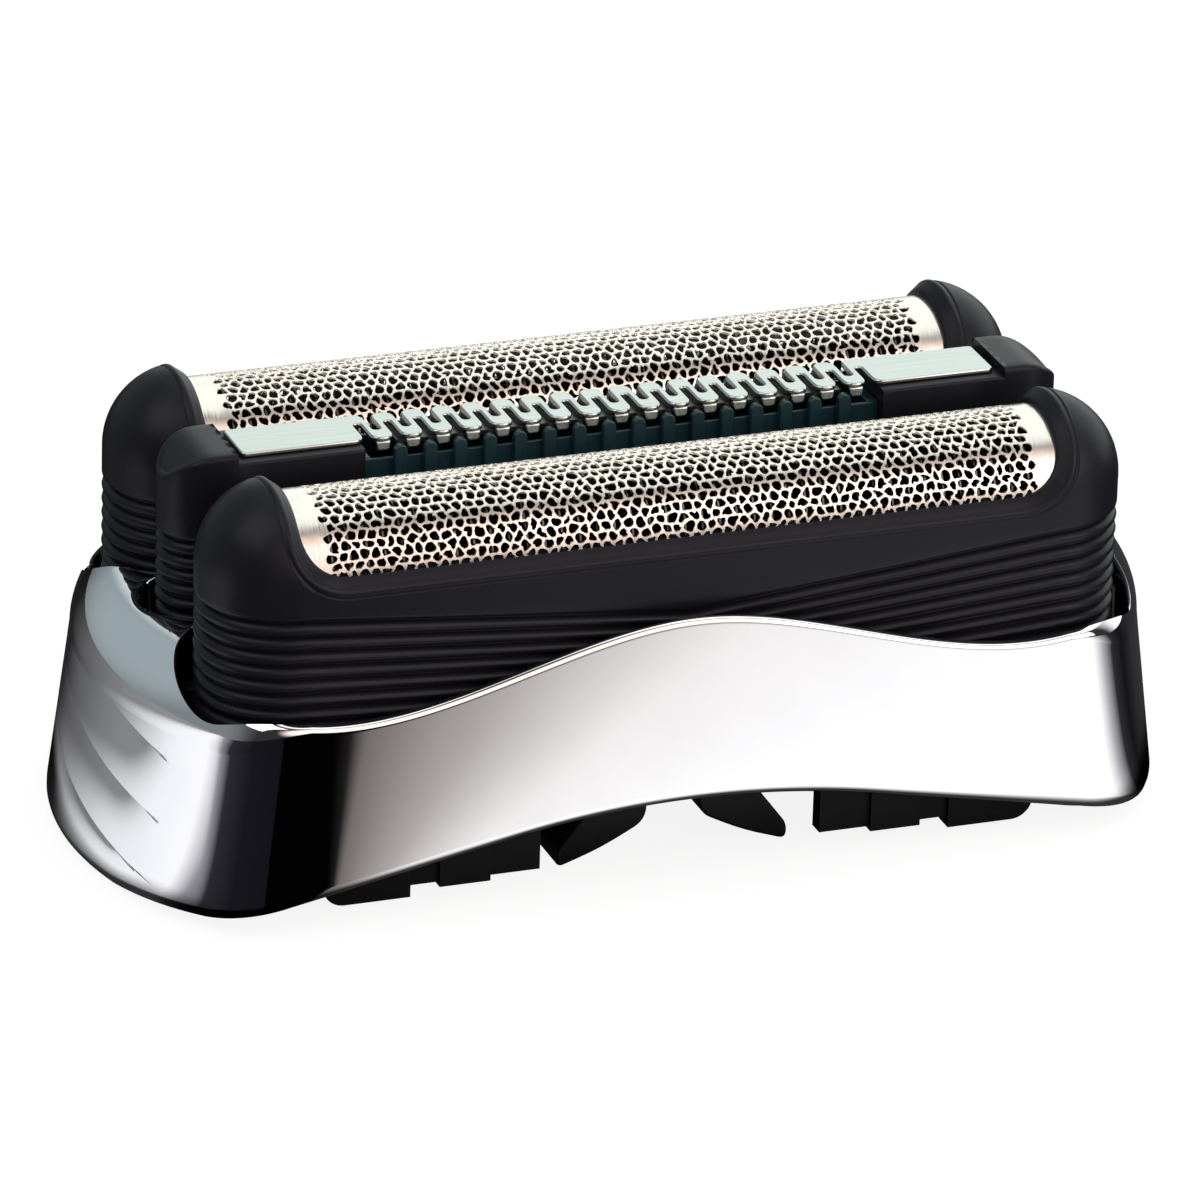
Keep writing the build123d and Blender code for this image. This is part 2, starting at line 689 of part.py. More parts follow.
trimmer_comb.part.label = "trimmer_comb"
export_step(trimmer_comb.part, "parts/trimmer_comb.step")

# Trimmer blade: toothed steel strip that strokes under the comb
with BuildPart() as trimmer_blade:
    with BuildSketch(Plane.XY.offset(blade_bottom)):
        Rectangle(2 * blade_half_length, 2 * blade_half_width)
        teeth = int(2 * blade_half_length / lobe_pitch)
        for side in (-1, 1):
            with Locations((0, side * blade_half_width)):
                with GridLocations(lobe_pitch, 1, teeth, 1):
                    Rectangle(blade_slot, 1.4 * blade_half_width, mode=Mode.SUBTRACT)
    extrude(amount=blade_thickness)
trimmer_blade.part.label = "trimmer_blade"
export_step(trimmer_blade.part, "parts/trimmer_blade.step")

# Trimmer driver: bar under the blade with a stem and drive slot reaching down through the head
with BuildPart() as trimmer_driver:
    bar_bottom = channel_floor + running_gap
    with BuildSketch(Plane.XY.offset(bar_bottom)):
        Rectangle(2 * blade_half_length, 2 * bar_half_width)
    extrude(amount=blade_bottom - bar_bottom)
    with BuildSketch(upright(0, drive_stem_half_width, 0)):
        with Locations((0, (bar_bottom + drive_stem_bottom) / 2)):
            Rectangle(2 * drive_stem_half_length, bar_bottom - drive_stem_bottom)
        with Locations((0, drive_stem_bottom + drive_slot_height / 2)):
            Rectangle(2 * drive_slot_half_gap, drive_slot_height, mode=Mode.SUBTRACT)
    extrude(amount=2 * drive_stem_half_width)
trimmer_driver.part.label = "trimmer_driver"
export_step(trimmer_driver.part, "parts/trimmer_driver.step")

# Trimmer springs: two coils on the carrier's floor, in the pockets of the trimmer body
trimmer_spring = coil_spring(spring_pocket_top - floor_top)
for end_name, end in (("left", -1), ("right", 1)):
    spring = trimmer_spring.moved(Location((end * trimmer_spring_x, 0, floor_top)))
    spring.label = f"trimmer_spring_{end_name}"
    export_step(spring, f"parts/trimmer_spring_{end_name}.step")
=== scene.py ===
"""Looks of a shaver foil head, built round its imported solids: sizes in millimetres, scaled to metres."""

import bmesh
import bpy
import numpy as np
from math import asin, atan2, cos, pi, radians, sin, sqrt, tan
from mathutils import Matrix, Vector


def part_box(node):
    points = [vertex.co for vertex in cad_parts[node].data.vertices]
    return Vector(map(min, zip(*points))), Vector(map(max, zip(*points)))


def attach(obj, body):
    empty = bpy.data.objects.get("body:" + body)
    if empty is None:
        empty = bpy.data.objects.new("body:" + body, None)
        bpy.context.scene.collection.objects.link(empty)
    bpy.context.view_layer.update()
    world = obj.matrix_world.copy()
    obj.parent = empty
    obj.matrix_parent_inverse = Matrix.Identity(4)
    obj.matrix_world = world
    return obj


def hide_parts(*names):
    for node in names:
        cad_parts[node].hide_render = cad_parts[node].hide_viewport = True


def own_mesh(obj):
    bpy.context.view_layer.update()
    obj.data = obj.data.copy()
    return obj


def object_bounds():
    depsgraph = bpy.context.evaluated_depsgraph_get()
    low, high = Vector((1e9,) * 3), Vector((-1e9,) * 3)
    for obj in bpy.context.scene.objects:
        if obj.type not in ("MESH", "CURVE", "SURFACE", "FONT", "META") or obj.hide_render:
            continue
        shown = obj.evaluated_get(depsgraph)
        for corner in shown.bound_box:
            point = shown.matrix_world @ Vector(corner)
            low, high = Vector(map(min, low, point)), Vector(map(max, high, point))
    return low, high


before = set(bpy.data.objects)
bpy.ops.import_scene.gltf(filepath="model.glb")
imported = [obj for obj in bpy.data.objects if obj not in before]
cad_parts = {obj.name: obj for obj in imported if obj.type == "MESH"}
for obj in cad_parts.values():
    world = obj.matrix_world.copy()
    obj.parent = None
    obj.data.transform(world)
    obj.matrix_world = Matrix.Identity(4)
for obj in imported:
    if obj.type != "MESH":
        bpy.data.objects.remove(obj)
cad_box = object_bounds()
mm = 0.001


# Inner carrier: the moulded floor inside the ring, with rails and pads below that guide the
# shaver's neck. Glass-filled nylon, injection moulded, clipped under the ring's end decks.

carrier_edge = 0.08
solid_edge_steps = 2
broken_angle = radians(40)
cloud_size = 6
cloud_gloss = (0.06, 0.08)
grain_relief = 0.5
plastic_ior = 1.53


def linear(hex_colour):
    """An sRGB hex colour as the linear RGBA that shaders take."""
    channels = [int(hex_colour[i : i + 2], 16) / 255 for i in (1, 3, 5)]
    return [c / 12.92 if c <= 0.04045 else ((c + 0.055) / 1.055) ** 2.4 for c in channels] + [1]


def add_node(material, kind, values={}, links={}, **settings):
    """Adds a shader node with its settings, its input values and the sockets linked to its inputs."""
    node = material.node_tree.nodes.new("ShaderNode" + kind)
    for name, value in settings.items():
        setattr(node, name, value)
    for name, value in values.items():
        node.inputs[name].default_value = value
    for name, socket in links.items():
        material.node_tree.links.new(socket, node.inputs[name])
    return node


def new_material(name):
    """An empty node material, its output node and the object's own coordinates."""
    material = bpy.data.materials.new(name)
    material.use_nodes = True
    material.node_tree.nodes.clear()
    output = add_node(material, "OutputMaterial")
    place = add_node(material, "TexCoord").outputs["Object"]
    return material, output, place


def surface(name, patterns, tones, gloss, relief, values):
    """A finish from noise patterns, each with its sizes in mm along X, Y and Z and its detail. They set
    the tone between two colours, the gloss between two roughnesses, and the relief."""
    material, output, place = new_material(name)
    noise = {}
    for pattern, (sizes, detail) in patterns.items():
        scale = [1 / (size * mm) for size in sizes]
        mapping = add_node(material, "Mapping", {"Scale": scale}, {"Vector": place})
        waves = {"Scale": 1, "Detail": detail}
        node = add_node(material, "TexNoise", waves, {"Vector": mapping.outputs["Vector"]})
        noise[pattern] = node.outputs["Fac"]
    tone_by, dark, light = tones
    colour = add_node(material, "ValToRGB", links={"Fac": noise[tone_by]})
    colour.color_ramp.elements[0].color = linear(dark)
    colour.color_ramp.elements[1].color = linear(light)
    gloss_by, smooth, rough = gloss
    limits = {"To Min": smooth, "To Max": rough}
    polish = add_node(material, "MapRange", limits, {"Value": noise[gloss_by]})
    relief_by, strength, depth = relief
    height = {"Strength": strength, "Distance": depth * mm}
    bump = add_node(material, "Bump", height, {"Height": noise[relief_by]})
    links = {
        "Base Color": colour.outputs["Color"],
        "Roughness": polish.outputs["Result"],
        "Normal": bump.outputs["Normal"],
    }
    shader = add_node(material, "BsdfPrincipled", values, links)
    material.node_tree.links.new(shader.outputs["BSDF"], output.inputs["Surface"])
    return material


def moulded_plastic(name, dark, light, roughness, gloss, grain, depth):
    """Moulded plastic: spark-eroded grain gives a soft sheen, and handling leaves faint clouds."""
    return surface(
        name, {"clouds": ([cloud_size] * 3, 3), "erosion": ([grain] * 3, 2)}, ("clouds", dark, light),
        ("clouds", roughness - cloud_gloss[0], roughness + cloud_gloss[1]),
        ("erosion", grain_relief, depth), {"IOR": plastic_ior, "Specular IOR Level": gloss},
    )


def break_edges(piece, edge, steps=3):
    """Rounds a piece's sharp edges a little, so that they catch the light."""
    bevel = piece.modifiers.new("broken_edges", "BEVEL")
    bevel.width = edge * mm
    bevel.segments = steps
    bevel.limit_method = "ANGLE"
    bevel.angle_limit = broken_angle


def dress(node, material, edge):
    """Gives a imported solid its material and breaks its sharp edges."""
    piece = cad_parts[node]
    piece.data.materials.clear()
    piece.data.materials.append(material)
    break_edges(piece, edge, solid_edge_steps)


# Glass fibre near the face dulls the nylon to a deep matt black. The eroded grain, about 0.03 mm
# here and on the other plastics, is too fine to show and is drawn coarser.
glass_filled_nylon = moulded_plastic(
    "glass_filled_nylon_moulded", "#050506", "#0b0b0c", roughness=0.55, gloss=0.14, grain=0.2, depth=0.02
)
dress("inner_carrier", glass_filled_nylon, carrier_edge)


# Cutter drivers: two sliders on the carrier's floor, each with a key for the cutter above and a
# flared fork for a drive pin below. Acetal, injection moulded, loose in the floor's openings.

fork_half_gap = 1.45
fork_root = 2.45
fork_top = 4.6
claw_reach = 6.45
claw_blunt = 0.9
claw_waist = (4.4, 3.9)
claw_rounds = (0.4, 0.8, 1.2, 0.5, 0.35, 0.8, 0)
claw_belly = 2.4
curve_points = 7
slider_half_length = 6.0
flange_overhang = 1.0
flange_bottom = 5.95
flange_thickness = 0.6
key_half_length = 1.4
key_half_width = 2.0
moulded_edge = 0.15


def box_mm(node):
    """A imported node's lowest and highest corners in millimetres."""
    low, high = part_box(node)
    return np.array(low) / mm, np.array(high) / mm


def prism(built, outline, place, depth):
    """Adds a flat outline, set in place by a function, pushed out by a depth along the third axis."""
    near = [built.verts.new(Vector(place(a, b, 0)) * mm) for a, b in outline]
    far = [built.verts.new(Vector(place(a, b, depth)) * mm) for a, b in outline]
    built.faces.new(near)
    built.faces.new(far)
    for k in range(len(outline)):
        n = (k + 1) % len(outline)
        built.faces.new((near[k], near[n], far[n], far[k]))


def rounded(corners):
    """An outline through corners given as (x, z, radius), each one eased by a short curve."""
    points = []
    for k, (x, z, radius) in enumerate(corners):
        corner = np.array((x, z))
        before = np.array(corners[k - 1][:2]) - corner
        after = np.array(corners[(k + 1) % len(corners)][:2]) - corner
        start = corner + before * radius / np.hypot(*before)
        end = corner + after * radius / np.hypot(*after)
        for t in np.linspace(0, 1, curve_points) if radius else [0]:
            points.append((1 - t) ** 2 * start + 2 * t * (1 - t) * corner + t * t * end)
    return points


def finish_piece(name, built, material, body, nodes, sharp=40):
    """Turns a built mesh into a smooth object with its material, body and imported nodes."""
    bmesh.ops.recalc_face_normals(built, faces=built.faces)
    mesh = bpy.data.meshes.new(name)
    built.to_mesh(mesh)
    built.free()
    for face in mesh.polygons:
        face.use_smooth = True
    mesh.set_sharp_from_angle(angle=radians(sharp))
    mesh.materials.append(material)
    piece = bpy.data.objects.new(name, mesh)
    bpy.context.collection.objects.link(piece)
    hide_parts(*nodes)
    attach(piece, body)
    return piece


# Acetal keeps a faint wax-like gloss where the mould was smooth.
black_acetal = moulded_plastic(
    "black_acetal_moulded", "#050506", "#0c0c0d", roughness=0.42, gloss=0.16, grain=0.25, depth=0.012
)
for lane in ("front", "rear"):
    low, high = box_mm(lane + "_cutter_driver")
    lane_y = (low[1] + high[1]) / 2
    flange_side = (high[1] - low[1]) / 2
    slider_side = flange_side - flange_overhang
    claw_tip = low[2]
    slope_middle = ((fork_half_gap + claw_reach) / 2, (fork_root + claw_tip) / claw_belly)
    corners = [
        (fork_half_gap, fork_top), (fork_half_gap, fork_root), slope_middle, (claw_reach, claw_tip),
        (claw_reach, claw_tip + claw_blunt), claw_waist, (slider_half_length, flange_bottom),
    ]
    claw = [(*corner, radius) for corner, radius in zip(corners, claw_rounds)]
    fork = rounded(claw + [(-x, z, radius) for x, z, radius in reversed(claw)])
    built = bmesh.new()
    prism(built, fork, lambda a, b, d: (a, lane_y - slider_side + d, b), 2 * slider_side)
    flange_top = flange_bottom + flange_thickness
    for half_x, half_y, start, end in (
        (high[0], flange_side, flange_bottom, flange_top),
        (key_half_length, key_half_width, flange_top, high[2]),
    ):
        block = [(-half_x, -half_y), (half_x, -half_y), (half_x, half_y), (-half_x, half_y)]
        prism(built, block, lambda a, b, d: (a, lane_y + b, start + d), end - start)
    slider = finish_piece(
        lane + "_driver_slider", built, black_acetal, lane + "_driver",
        [lane + "_cutter_driver"],
    )
    break_edges(slider, moulded_edge)


# Springs: six coils that push the cutters and the trimmer up. Round spring-steel wire, drawn and
# cold coiled with closed ends, standing loose between their seats.

wire_width = 0.36
live_turns = 4
closed_turns = 0.75
points_per_turn = 16
streak_length = 40
streak_gloss = (0.05, 0.07)
streak_relief = (0.15, 0.01)


def spun_metal(name, dark, light, roughness, streak, along):
    """Bare metal: fine drawn or ground streaks run along one axis and spread its highlights."""
    sizes = [streak * streak_length if axis == along else streak for axis in "xyz"]
    return surface(
        name, {"streaks": (sizes, 3)}, ("streaks", dark, light),
        ("streaks", roughness - streak_gloss[0], roughness + streak_gloss[1]),
        ("streaks", *streak_relief), {"Metallic": 1},
    )


def coil_height(turn, turns, rise):
    """Height of the wire along the coil: flat closed ends, an even rise between."""
    share = (turn - closed_turns) / (turns - 2 * closed_turns)
    return rise * min(max(share, 0), 1)


# Drawing leaves the wire bright, with grey lines along it. Such lines, about 0.02 mm apart here and
# on the stamped steel, are too fine to show and are drawn coarser.
drawn_spring_steel = spun_metal(
    "spring_steel_drawn", "#8f8f90", "#c4c4c4", roughness=0.28, streak=0.1, along="z"
)
spring_homes = [
    ("front_cutter", "front_driver", "front_foil_float"),
    ("rear_cutter", "rear_driver", "rear_foil_float"),
    ("trimmer", "frame", "trimmer_float"),
]
coils = [(f"{unit}_spring_{hand}", *home) for unit, *home in spring_homes for hand in ("left", "right")]
for node, body, joint in coils:
    low, high = box_mm(node)
    middle = (low + high) / 2
    coil_radius = (high[0] - low[0]) / 2 - wire_width / 2
    rise = high[2] - low[2] - wire_width
    turns = live_turns + 2 * closed_turns
    route = bpy.data.curves.new(node + "_wire", "CURVE")
    route.dimensions = "3D"
    route.bevel_depth = wire_width / 2 * mm
    route.bevel_resolution = 2
    route.use_fill_caps = True
    strand = route.splines.new("POLY")
    steps = int(turns * points_per_turn)
    strand.points.add(steps)
    for step, point in enumerate(strand.points):
        turn = step / points_per_turn
        x = middle[0] + coil_radius * cos(2 * pi * turn)
        y = middle[1] + coil_radius * sin(2 * pi * turn)
        z = low[2] + wire_width / 2 + coil_height(turn, turns, rise)
        point.co = (x * mm, y * mm, z * mm, 1)
    drawn = bpy.data.objects.new(node + "_route", route)
    bpy.context.collection.objects.link(drawn)
    bent = drawn.evaluated_get(bpy.context.evaluated_depsgraph_get())
    coil_mesh = bpy.data.meshes.new_from_object(bent)
    bpy.data.objects.remove(drawn)
    coil = bpy.data.objects.new(node + "_coil", coil_mesh)
    bpy.context.collection.objects.link(coil)
    coil_mesh.materials.clear()
    coil_mesh.materials.append(drawn_spring_steel)
    for face in coil_mesh.polygons:
        face.use_smooth = True
    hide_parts(node)
    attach(coil, body)
    seat = (middle[0] * mm, middle[1] * mm, low[2] * mm)
    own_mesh(coil)


# Cutters: under each foil a moulded bar carries a row of thin steel arches that sweep along the
# inside of the foil. Acetal bar, injection moulded; stainless lamellae, stamped and pressed in.

lamella_count = 41
lamella_thickness = 0.1
lamella_band = 0.9
arch_points = 20
foot_share = 0.9
holder_edge = 0.1

# Stamped and left as cut, with short lines across each blade. Its grey is painted shade: darker than bare
# steel, for blades that lie under the foils and the comb.
shade_darkened_stainless = spun_metal(
    "stainless_stamped_shade_darkened", "#4c4b49", "#6d6b67", roughness=0.35, streak=0.12, along="y"
)
for lane in ("front", "rear"):
    dress(lane + "_cutter_holder", black_acetal, holder_edge)
    low, high = box_mm(lane + "_cutter_lamellae")
    middle_y = (low[1] + high[1]) / 2
    arch_radius = (high[1] - low[1]) / 2
    arch_axis = high[2] - arch_radius
    leg_width = arch_radius - lamella_band
    sweep = np.linspace(0, pi, arch_points)
    arch = [(arch_radius * cos(t), arch_axis + arch_radius * sin(t)) for t in sweep]
    bore = [(leg_width * cos(t), arch_axis + leg_width * sin(t)) for t in reversed(sweep)]
    foot_out, foot_in = arch_radius * foot_share, leg_width * foot_share
    left_foot = [(-foot_out, low[2]), (-foot_in, low[2])]
    outline = [(foot_out, low[2])] + arch + left_foot + bore + [(foot_in, low[2])]
    built = bmesh.new()
    for x in np.linspace(low[0], high[0] - lamella_thickness, lamella_count):
        prism(built, outline, lambda a, b, d: (x + d, middle_y + a, b), lamella_thickness)
    finish_piece(
        lane + "_lamella_row", built, shade_darkened_stainless, lane + "_cutter",
        [lane + "_cutter_lamellae"],
    )


# Foil frames: the two floating cartridges. Black ABS, injection moulded with a satin grain; fine
# bellows ribs wrap the skirt, domed ears close the ends and a bevelled lip runs round the foil.

catch_proud = 0.85
catch_height = (9.3, 10.6)
catch_half_width = 0.6
catch_inset = 1.5
skirt_edge = 0.25
bay_gap = 0.3
weld_gap = 0.003
flank_steps = 36
corner_steps = 12
dome_steps = 16
lift_steps = 9
window_inset = 4.15
window_corner = 2.8
window_level = 0.25
foil_wall = 0.53
bay_wall = 0.9
rib_count = 8
rib_pitch = 0.8
rib_top = 16.65
rib_sag = 2.0
sag_fade = 0.5
rib_profile = [
    (-0.40, 0.0), (-0.28, 0.03), (-0.17, 0.10), (-0.08, 0.24), (-0.03, 0.34),
    (0.03, 0.34), (0.08, 0.24), (0.17, 0.10), (0.28, 0.03), (0.40, 0.0),
]
lip_profile = [
    (-0.75, 0.0), (-0.68, 0.06), (-0.60, 0.06), (-0.53, 0.0), (-0.40, -0.01), (-0.30, 0.02),
    (-0.22, 0.10), (0.0, 0.27), (0.26, 0.46), (0.34, 0.56), (0.36, 1.0),
]
lip_width = -lip_profile[0][0]


def mirrored(grids):
    """Point grids with their mirror images across X, across Y and across both."""
    sides = [(1, 1), (1, -1), (-1, 1), (-1, -1)]
    return [np.array(g) * (sx, sy, 1) for g in grids for sx, sy in sides]


def skin(name, grids, material, body, slot, *nodes, sharp=40, offset=(0, 0, 0)):
    """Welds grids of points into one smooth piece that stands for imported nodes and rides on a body."""
    built = bmesh.new()
    for grid in grids:
        grid = (np.array(grid, float) + offset) * mm
        rows, columns = grid.shape[:2]
        points = [[built.verts.new(p) for p in row] for row in grid]
        for i in range(rows - 1):
            for j in range(columns - 1):
                corners = [points[i][j], points[i][j + 1], points[i + 1][j + 1], points[i + 1][j]]
                built.faces.new(corners)
    bmesh.ops.remove_doubles(built, verts=built.verts, dist=weld_gap * mm)
    bmesh.ops.dissolve_degenerate(built, edges=built.edges, dist=weld_gap / 3 * mm)
    return finish_piece(name, built, material, body, nodes, sharp)


def catch_block(root, tip, near, far, lower, upper):
    """Point grids of a square catch that stands out from an end: its four sides and its face."""
    loop = [(near, lower), (far, lower), (far, upper), (near, upper), (near, lower)]
    sides = [[(x, y, z) for y, z in loop] for x in (root, tip)]
    face = [[(tip, y, z) for y in (near, far)] for z in (lower, upper)]
    return [sides, face]


# A fine even grain in the mould gives a soft black satin with a faint cool cast.
satin_abs = moulded_plastic(
    "black_abs_moulded_satin", "#111117", "#1b1b22", roughness=0.36, gloss=0.16, grain=0.16, depth=0.012
)
for lane in ("front", "rear"):
    low, high = box_mm(lane + "_foil_frame")
    foil_high = box_mm(lane + "_foil")[1]
    lane_y = (low[1] + high[1]) / 2
    inward = -np.sign(lane_y)
    half_width = (high[1] - low[1]) / 2
    half_length = high[0] - catch_proud
    end_centre = half_length - half_width
    skirt_bottom = low[2]
    ear_axis = high[2] - half_width
    foil_axis = foil_high[2] - (half_width - foil_wall)
    window_end = half_length - window_inset
    window_bottom = foil_axis + window_level
    corner_x = window_end - window_corner
    corner_z = window_bottom + window_corner
    skirt_top = window_bottom - lip_width

    def side(x, z, inset):
        """How far the outside stands from the foil's middle at a place seen from the front."""
        reach = half_width - inset
        beyond = max(x - end_centre, 0)
        above = max(z - ear_axis, 0)
        return sqrt(max(reach**2 - beyond**2 - above**2, 0))

    def plan(x, inset):
        """A skirt column's place in plan, drawn in square to the wall."""
        if x <= end_centre:
            return x, -(half_width - inset)
        turn = asin(min((x - end_centre) / half_width, 1))
        return end_centre + (half_width - inset) * sin(turn), -(half_width - inset) * cos(turn)

    turns = np.linspace(0, pi / 2, corner_steps)
    corner_columns = [corner_x + (window_corner + lip_width) * sin(t) for t in turns]
    dome_start = asin((corner_columns[-1] - end_centre) / half_width)
    dome_turns = np.linspace(dome_start, pi / 2, dome_steps)
    dome_columns = [end_centre + half_width * sin(t) for t in dome_turns]
    flank_columns = list(np.linspace(0, corner_x, flank_steps))
    columns = flank_columns + corner_columns[1:] + dome_columns[1:]

    skirt = []
    for x in columns:
        slope = max(1 - x / end_centre, 0)
        wall = [(skirt_bottom, skirt_edge), (skirt_bottom + skirt_edge, 0)]
        for rib in reversed(range(rib_count)):
            level = rib_top - rib * rib_pitch - rib_sag * (1 - sag_fade * rib / rib_count) * slope
            wall += [(level + up, inset) for up, inset in rib_profile]
        last = wall[-1][0]
        wall += [(last + (skirt_top - last) * share, 0) for share in (0.33, 0.67, 1)]
        skirt.append([(*plan(x, inset), z) for z, inset in wall])

    ears = []
    lift_shares = np.linspace(0, 1, lift_steps)
    tops = [corner_z - (window_corner + lip_width) * cos(t) for t in turns]
    corner_patch = []
    for x, top in zip(corner_columns, tops):
        levels = skirt_top + (top - skirt_top) * lift_shares
        corner_patch.append([(x, -side(x, z, 0), z) for z in levels])
    first_reach = half_width * cos(dome_start)
    for t in dome_turns:
        x = end_centre + half_width * sin(t)
        reach = half_width * cos(t)
        ring = []
        for z in skirt_top + (tops[-1] - skirt_top) * lift_shares:
            lift = asin(max(z - ear_axis, 0) / first_reach)
            ring.append((x, -reach * cos(lift), min(z, ear_axis) + reach * sin(lift)))
        first_lift = asin((tops[-1] - ear_axis) / first_reach)
        for lift in np.linspace(first_lift, pi / 2, corner_steps)[1:]:
            ring.append((x, -reach * cos(lift), ear_axis + reach * sin(lift)))
        ears.append(ring)

    lip = []
    for out, inset in lip_profile:
        reach = half_width - inset
        end_x = window_end - out
        row = [(x, -side(x, window_bottom + out, inset), window_bottom + out) for x in flank_columns]
        for t in turns[1:]:
            x = corner_x + (window_corner - out) * sin(t)
            z = corner_z - (window_corner - out) * cos(t)
            row.append((x, -side(x, z, inset), z))
        end_reach = sqrt(reach**2 - max(end_x - end_centre, 0) ** 2)
        first_lift = asin((corner_z - ear_axis) / end_reach)
        for lift in np.linspace(first_lift, pi / 2, corner_steps)[1:]:
            row.append((end_x, -end_reach * cos(lift), ear_axis + end_reach * sin(lift)))
        lip.append(row)

    bay = []
    for x in columns:
        plan_x, plan_y = min(x, window_end), -min(half_width - bay_wall, side(x, 0, 0))
        edge = (*plan(x, skirt_edge), skirt_bottom)
        bay.append([edge, (plan_x, plan_y, skirt_bottom), (plan_x, plan_y, foil_axis - bay_gap)])

    grids = mirrored([skirt, corner_patch, ears, lip, bay])
    for end in (-1, 1):
        middle = inward * (half_width - catch_inset)
        grids += catch_block(
            end * end_centre, end * (half_length + catch_proud),
            middle - catch_half_width, middle + catch_half_width, *catch_height,
        )
    skin(
        lane + "_cartridge", grids, satin_abs, lane + "_cartridge", "black_moulding",
        lane + "_foil_frame", offset=(0, lane_y, 0),
    )


# Foils: thin sheets arched over the cutters and held in the cartridges' windows. Nickel,
# electroformed with an irregular net of fine holes; a plain strip is left at each end.

foil_thickness = 0.12
hole_pitch = 0.6
hole_wander = 0.11
web_half_width = 0.043
hole_corner = 0.055
dent_share = 0.3
dent_depth = 0.10
plain_strip = 2.55
hole_edge = [(0.0, 0.0), (0.02, 0.025), (0.035, foil_thickness)]
hole_sides = 6
row_shift = 0.25
least_hole = 0.2
unpierced_share = 0.1
net_count = (4, 12)
foil_sharp = 50
foil_lines = (0.14, 3, 3)
foil_clouds = 5

# Nickel grown on a mandrel: bright, faintly warm, with fine lines across the sheet. The lines, about
# 0.02 mm apart, are too fine to show and are drawn coarser.
nickel_foil = surface(
    "nickel_electroformed", {"lines": (foil_lines, 2), "clouds": ([foil_clouds] * 3, 3)},
    ("clouds", "#d6d0c8", "#ebe6df"), ("lines", 0.16, 0.3), ("lines", 0.5, 0.02), {"Metallic": 1},
)
for lane, seed in (("front", 11), ("rear", 23)):
    low, high = box_mm(lane + "_foil")
    middle_y = (low[1] + high[1]) / 2
    radius = (high[1] - low[1]) / 2
    axis = high[2] - radius
    seat = axis - low[2]
    half_length = high[0]
    arc = pi * radius
    wander = np.random.default_rng(seed)

    def on_foil(x, s, depth):
        """A place on the sheet: along it, round it from the front edge's start, and below its face."""
        turn = min(max(s / radius, 0), pi)
        below = min(s, 0) + min(arc - s, 0)
        across = -(radius - depth) * cos(turn)
        return (x * mm, (middle_y + across) * mm, (axis + (radius - depth) * sin(turn) + below) * mm)

    built = bmesh.new()
    corners, edges = {}, {}
    row_step = hole_pitch * sqrt(3) / 2
    net_radius = hole_pitch / sqrt(3)
    hole_points = 2 * hole_sides
    unpierced = unpierced_share * radius
    rows = int((arc + 2 * seat) / row_step) + 1
    per_row = int(2 * half_length / hole_pitch)

    def corner_at(x, s):
        """A shared corner of the net: a point of the regular net, moved a little by chance."""
        key = (round(net_count[0] * x / hole_pitch), round(net_count[1] * s / hole_pitch))
        if key not in corners:
            flat = np.array((x, s)) + wander.uniform(-hole_wander, hole_wander, 2)
            flat = np.clip(flat, (-half_length, -seat), (half_length, arc + seat))
            corners[key] = (flat, built.verts.new(on_foil(*flat, 0)))
        return key

    def middle_of(a, b):
        """The shared middle of the web between two corners."""
        key = (min(a, b), max(a, b))
        if key not in edges:
            flat = (corners[a][0] + corners[b][0]) / 2
            edges[key] = (flat, built.verts.new(on_foil(*flat, 0)))
        return edges[key]

    for row in range(rows):
        s = -seat + (arc + 2 * seat - (rows - 1) * row_step) / 2 + row * row_step
        for number in range(per_row):
            x = (number - (per_row - 1) / 2 + (row_shift if row % 2 else -row_shift)) * hole_pitch
            ring = []
            for k in range(hole_sides):
                turn = k * pi / 3
                ring.append(corner_at(x + net_radius * sin(turn), s + net_radius * cos(turn)))
            border = []
            for k in range(hole_sides):
                border += [corners[ring[k]], middle_of(ring[k], ring[(k + 1) % hole_sides])]
            pierced = abs(x) < half_length - plain_strip and unpierced < s < arc - unpierced
            if not pierced:
                if len({vert for _, vert in border}) == hole_points:
                    built.faces.new([vert for _, vert in border])
                continue
            heart = np.mean([flat for flat, _ in border], axis=0)
            dent = wander.integers(hole_points) if wander.random() < dent_share else -1
            loops = [[vert for _, vert in border]]
            for shrink, depth in hole_edge:
                loop = []
                for k, (flat, _) in enumerate(border):
                    out = flat - heart
                    reach = np.hypot(*out)
                    web = web_half_width + (hole_corner if k % 2 == 0 else 0) + shrink
                    web += dent_depth if k == dent else 0
                    spot = heart + out * max(1 - web / reach, least_hole)
                    loop.append(built.verts.new(on_foil(*spot, depth)))
                loops.append(loop)
            for outer, inner in zip(loops, loops[1:]):
                for k in range(hole_points):
                    n = (k + 1) % hole_points
                    built.faces.new((outer[k], outer[n], inner[n], inner[k]))
    finish_piece(
        lane + "_pierced_foil", built, nickel_foil, lane + "_cartridge",
        [lane + "_foil"], foil_sharp,
    )


# Trimmer drive: a moulded bar whose stem reaches down to the drive pin, and the toothed strip it
# carries under the comb. Acetal bar, injection moulded; stainless strip, stamped and ground.

blade_edge = 0.03
dress("trimmer_driver", black_acetal, holder_edge)
# The blade takes the steel whose darker grey is painted shade, as it lies under the comb.
dress("trimmer_blade", shade_darkened_stainless, blade_edge)


# Trimmer body: the narrow floating block between the cartridges. Black ABS, injection moulded;
# round shouldered ends with bellows ribs, and a sunk deck that the steel comb is laid in.

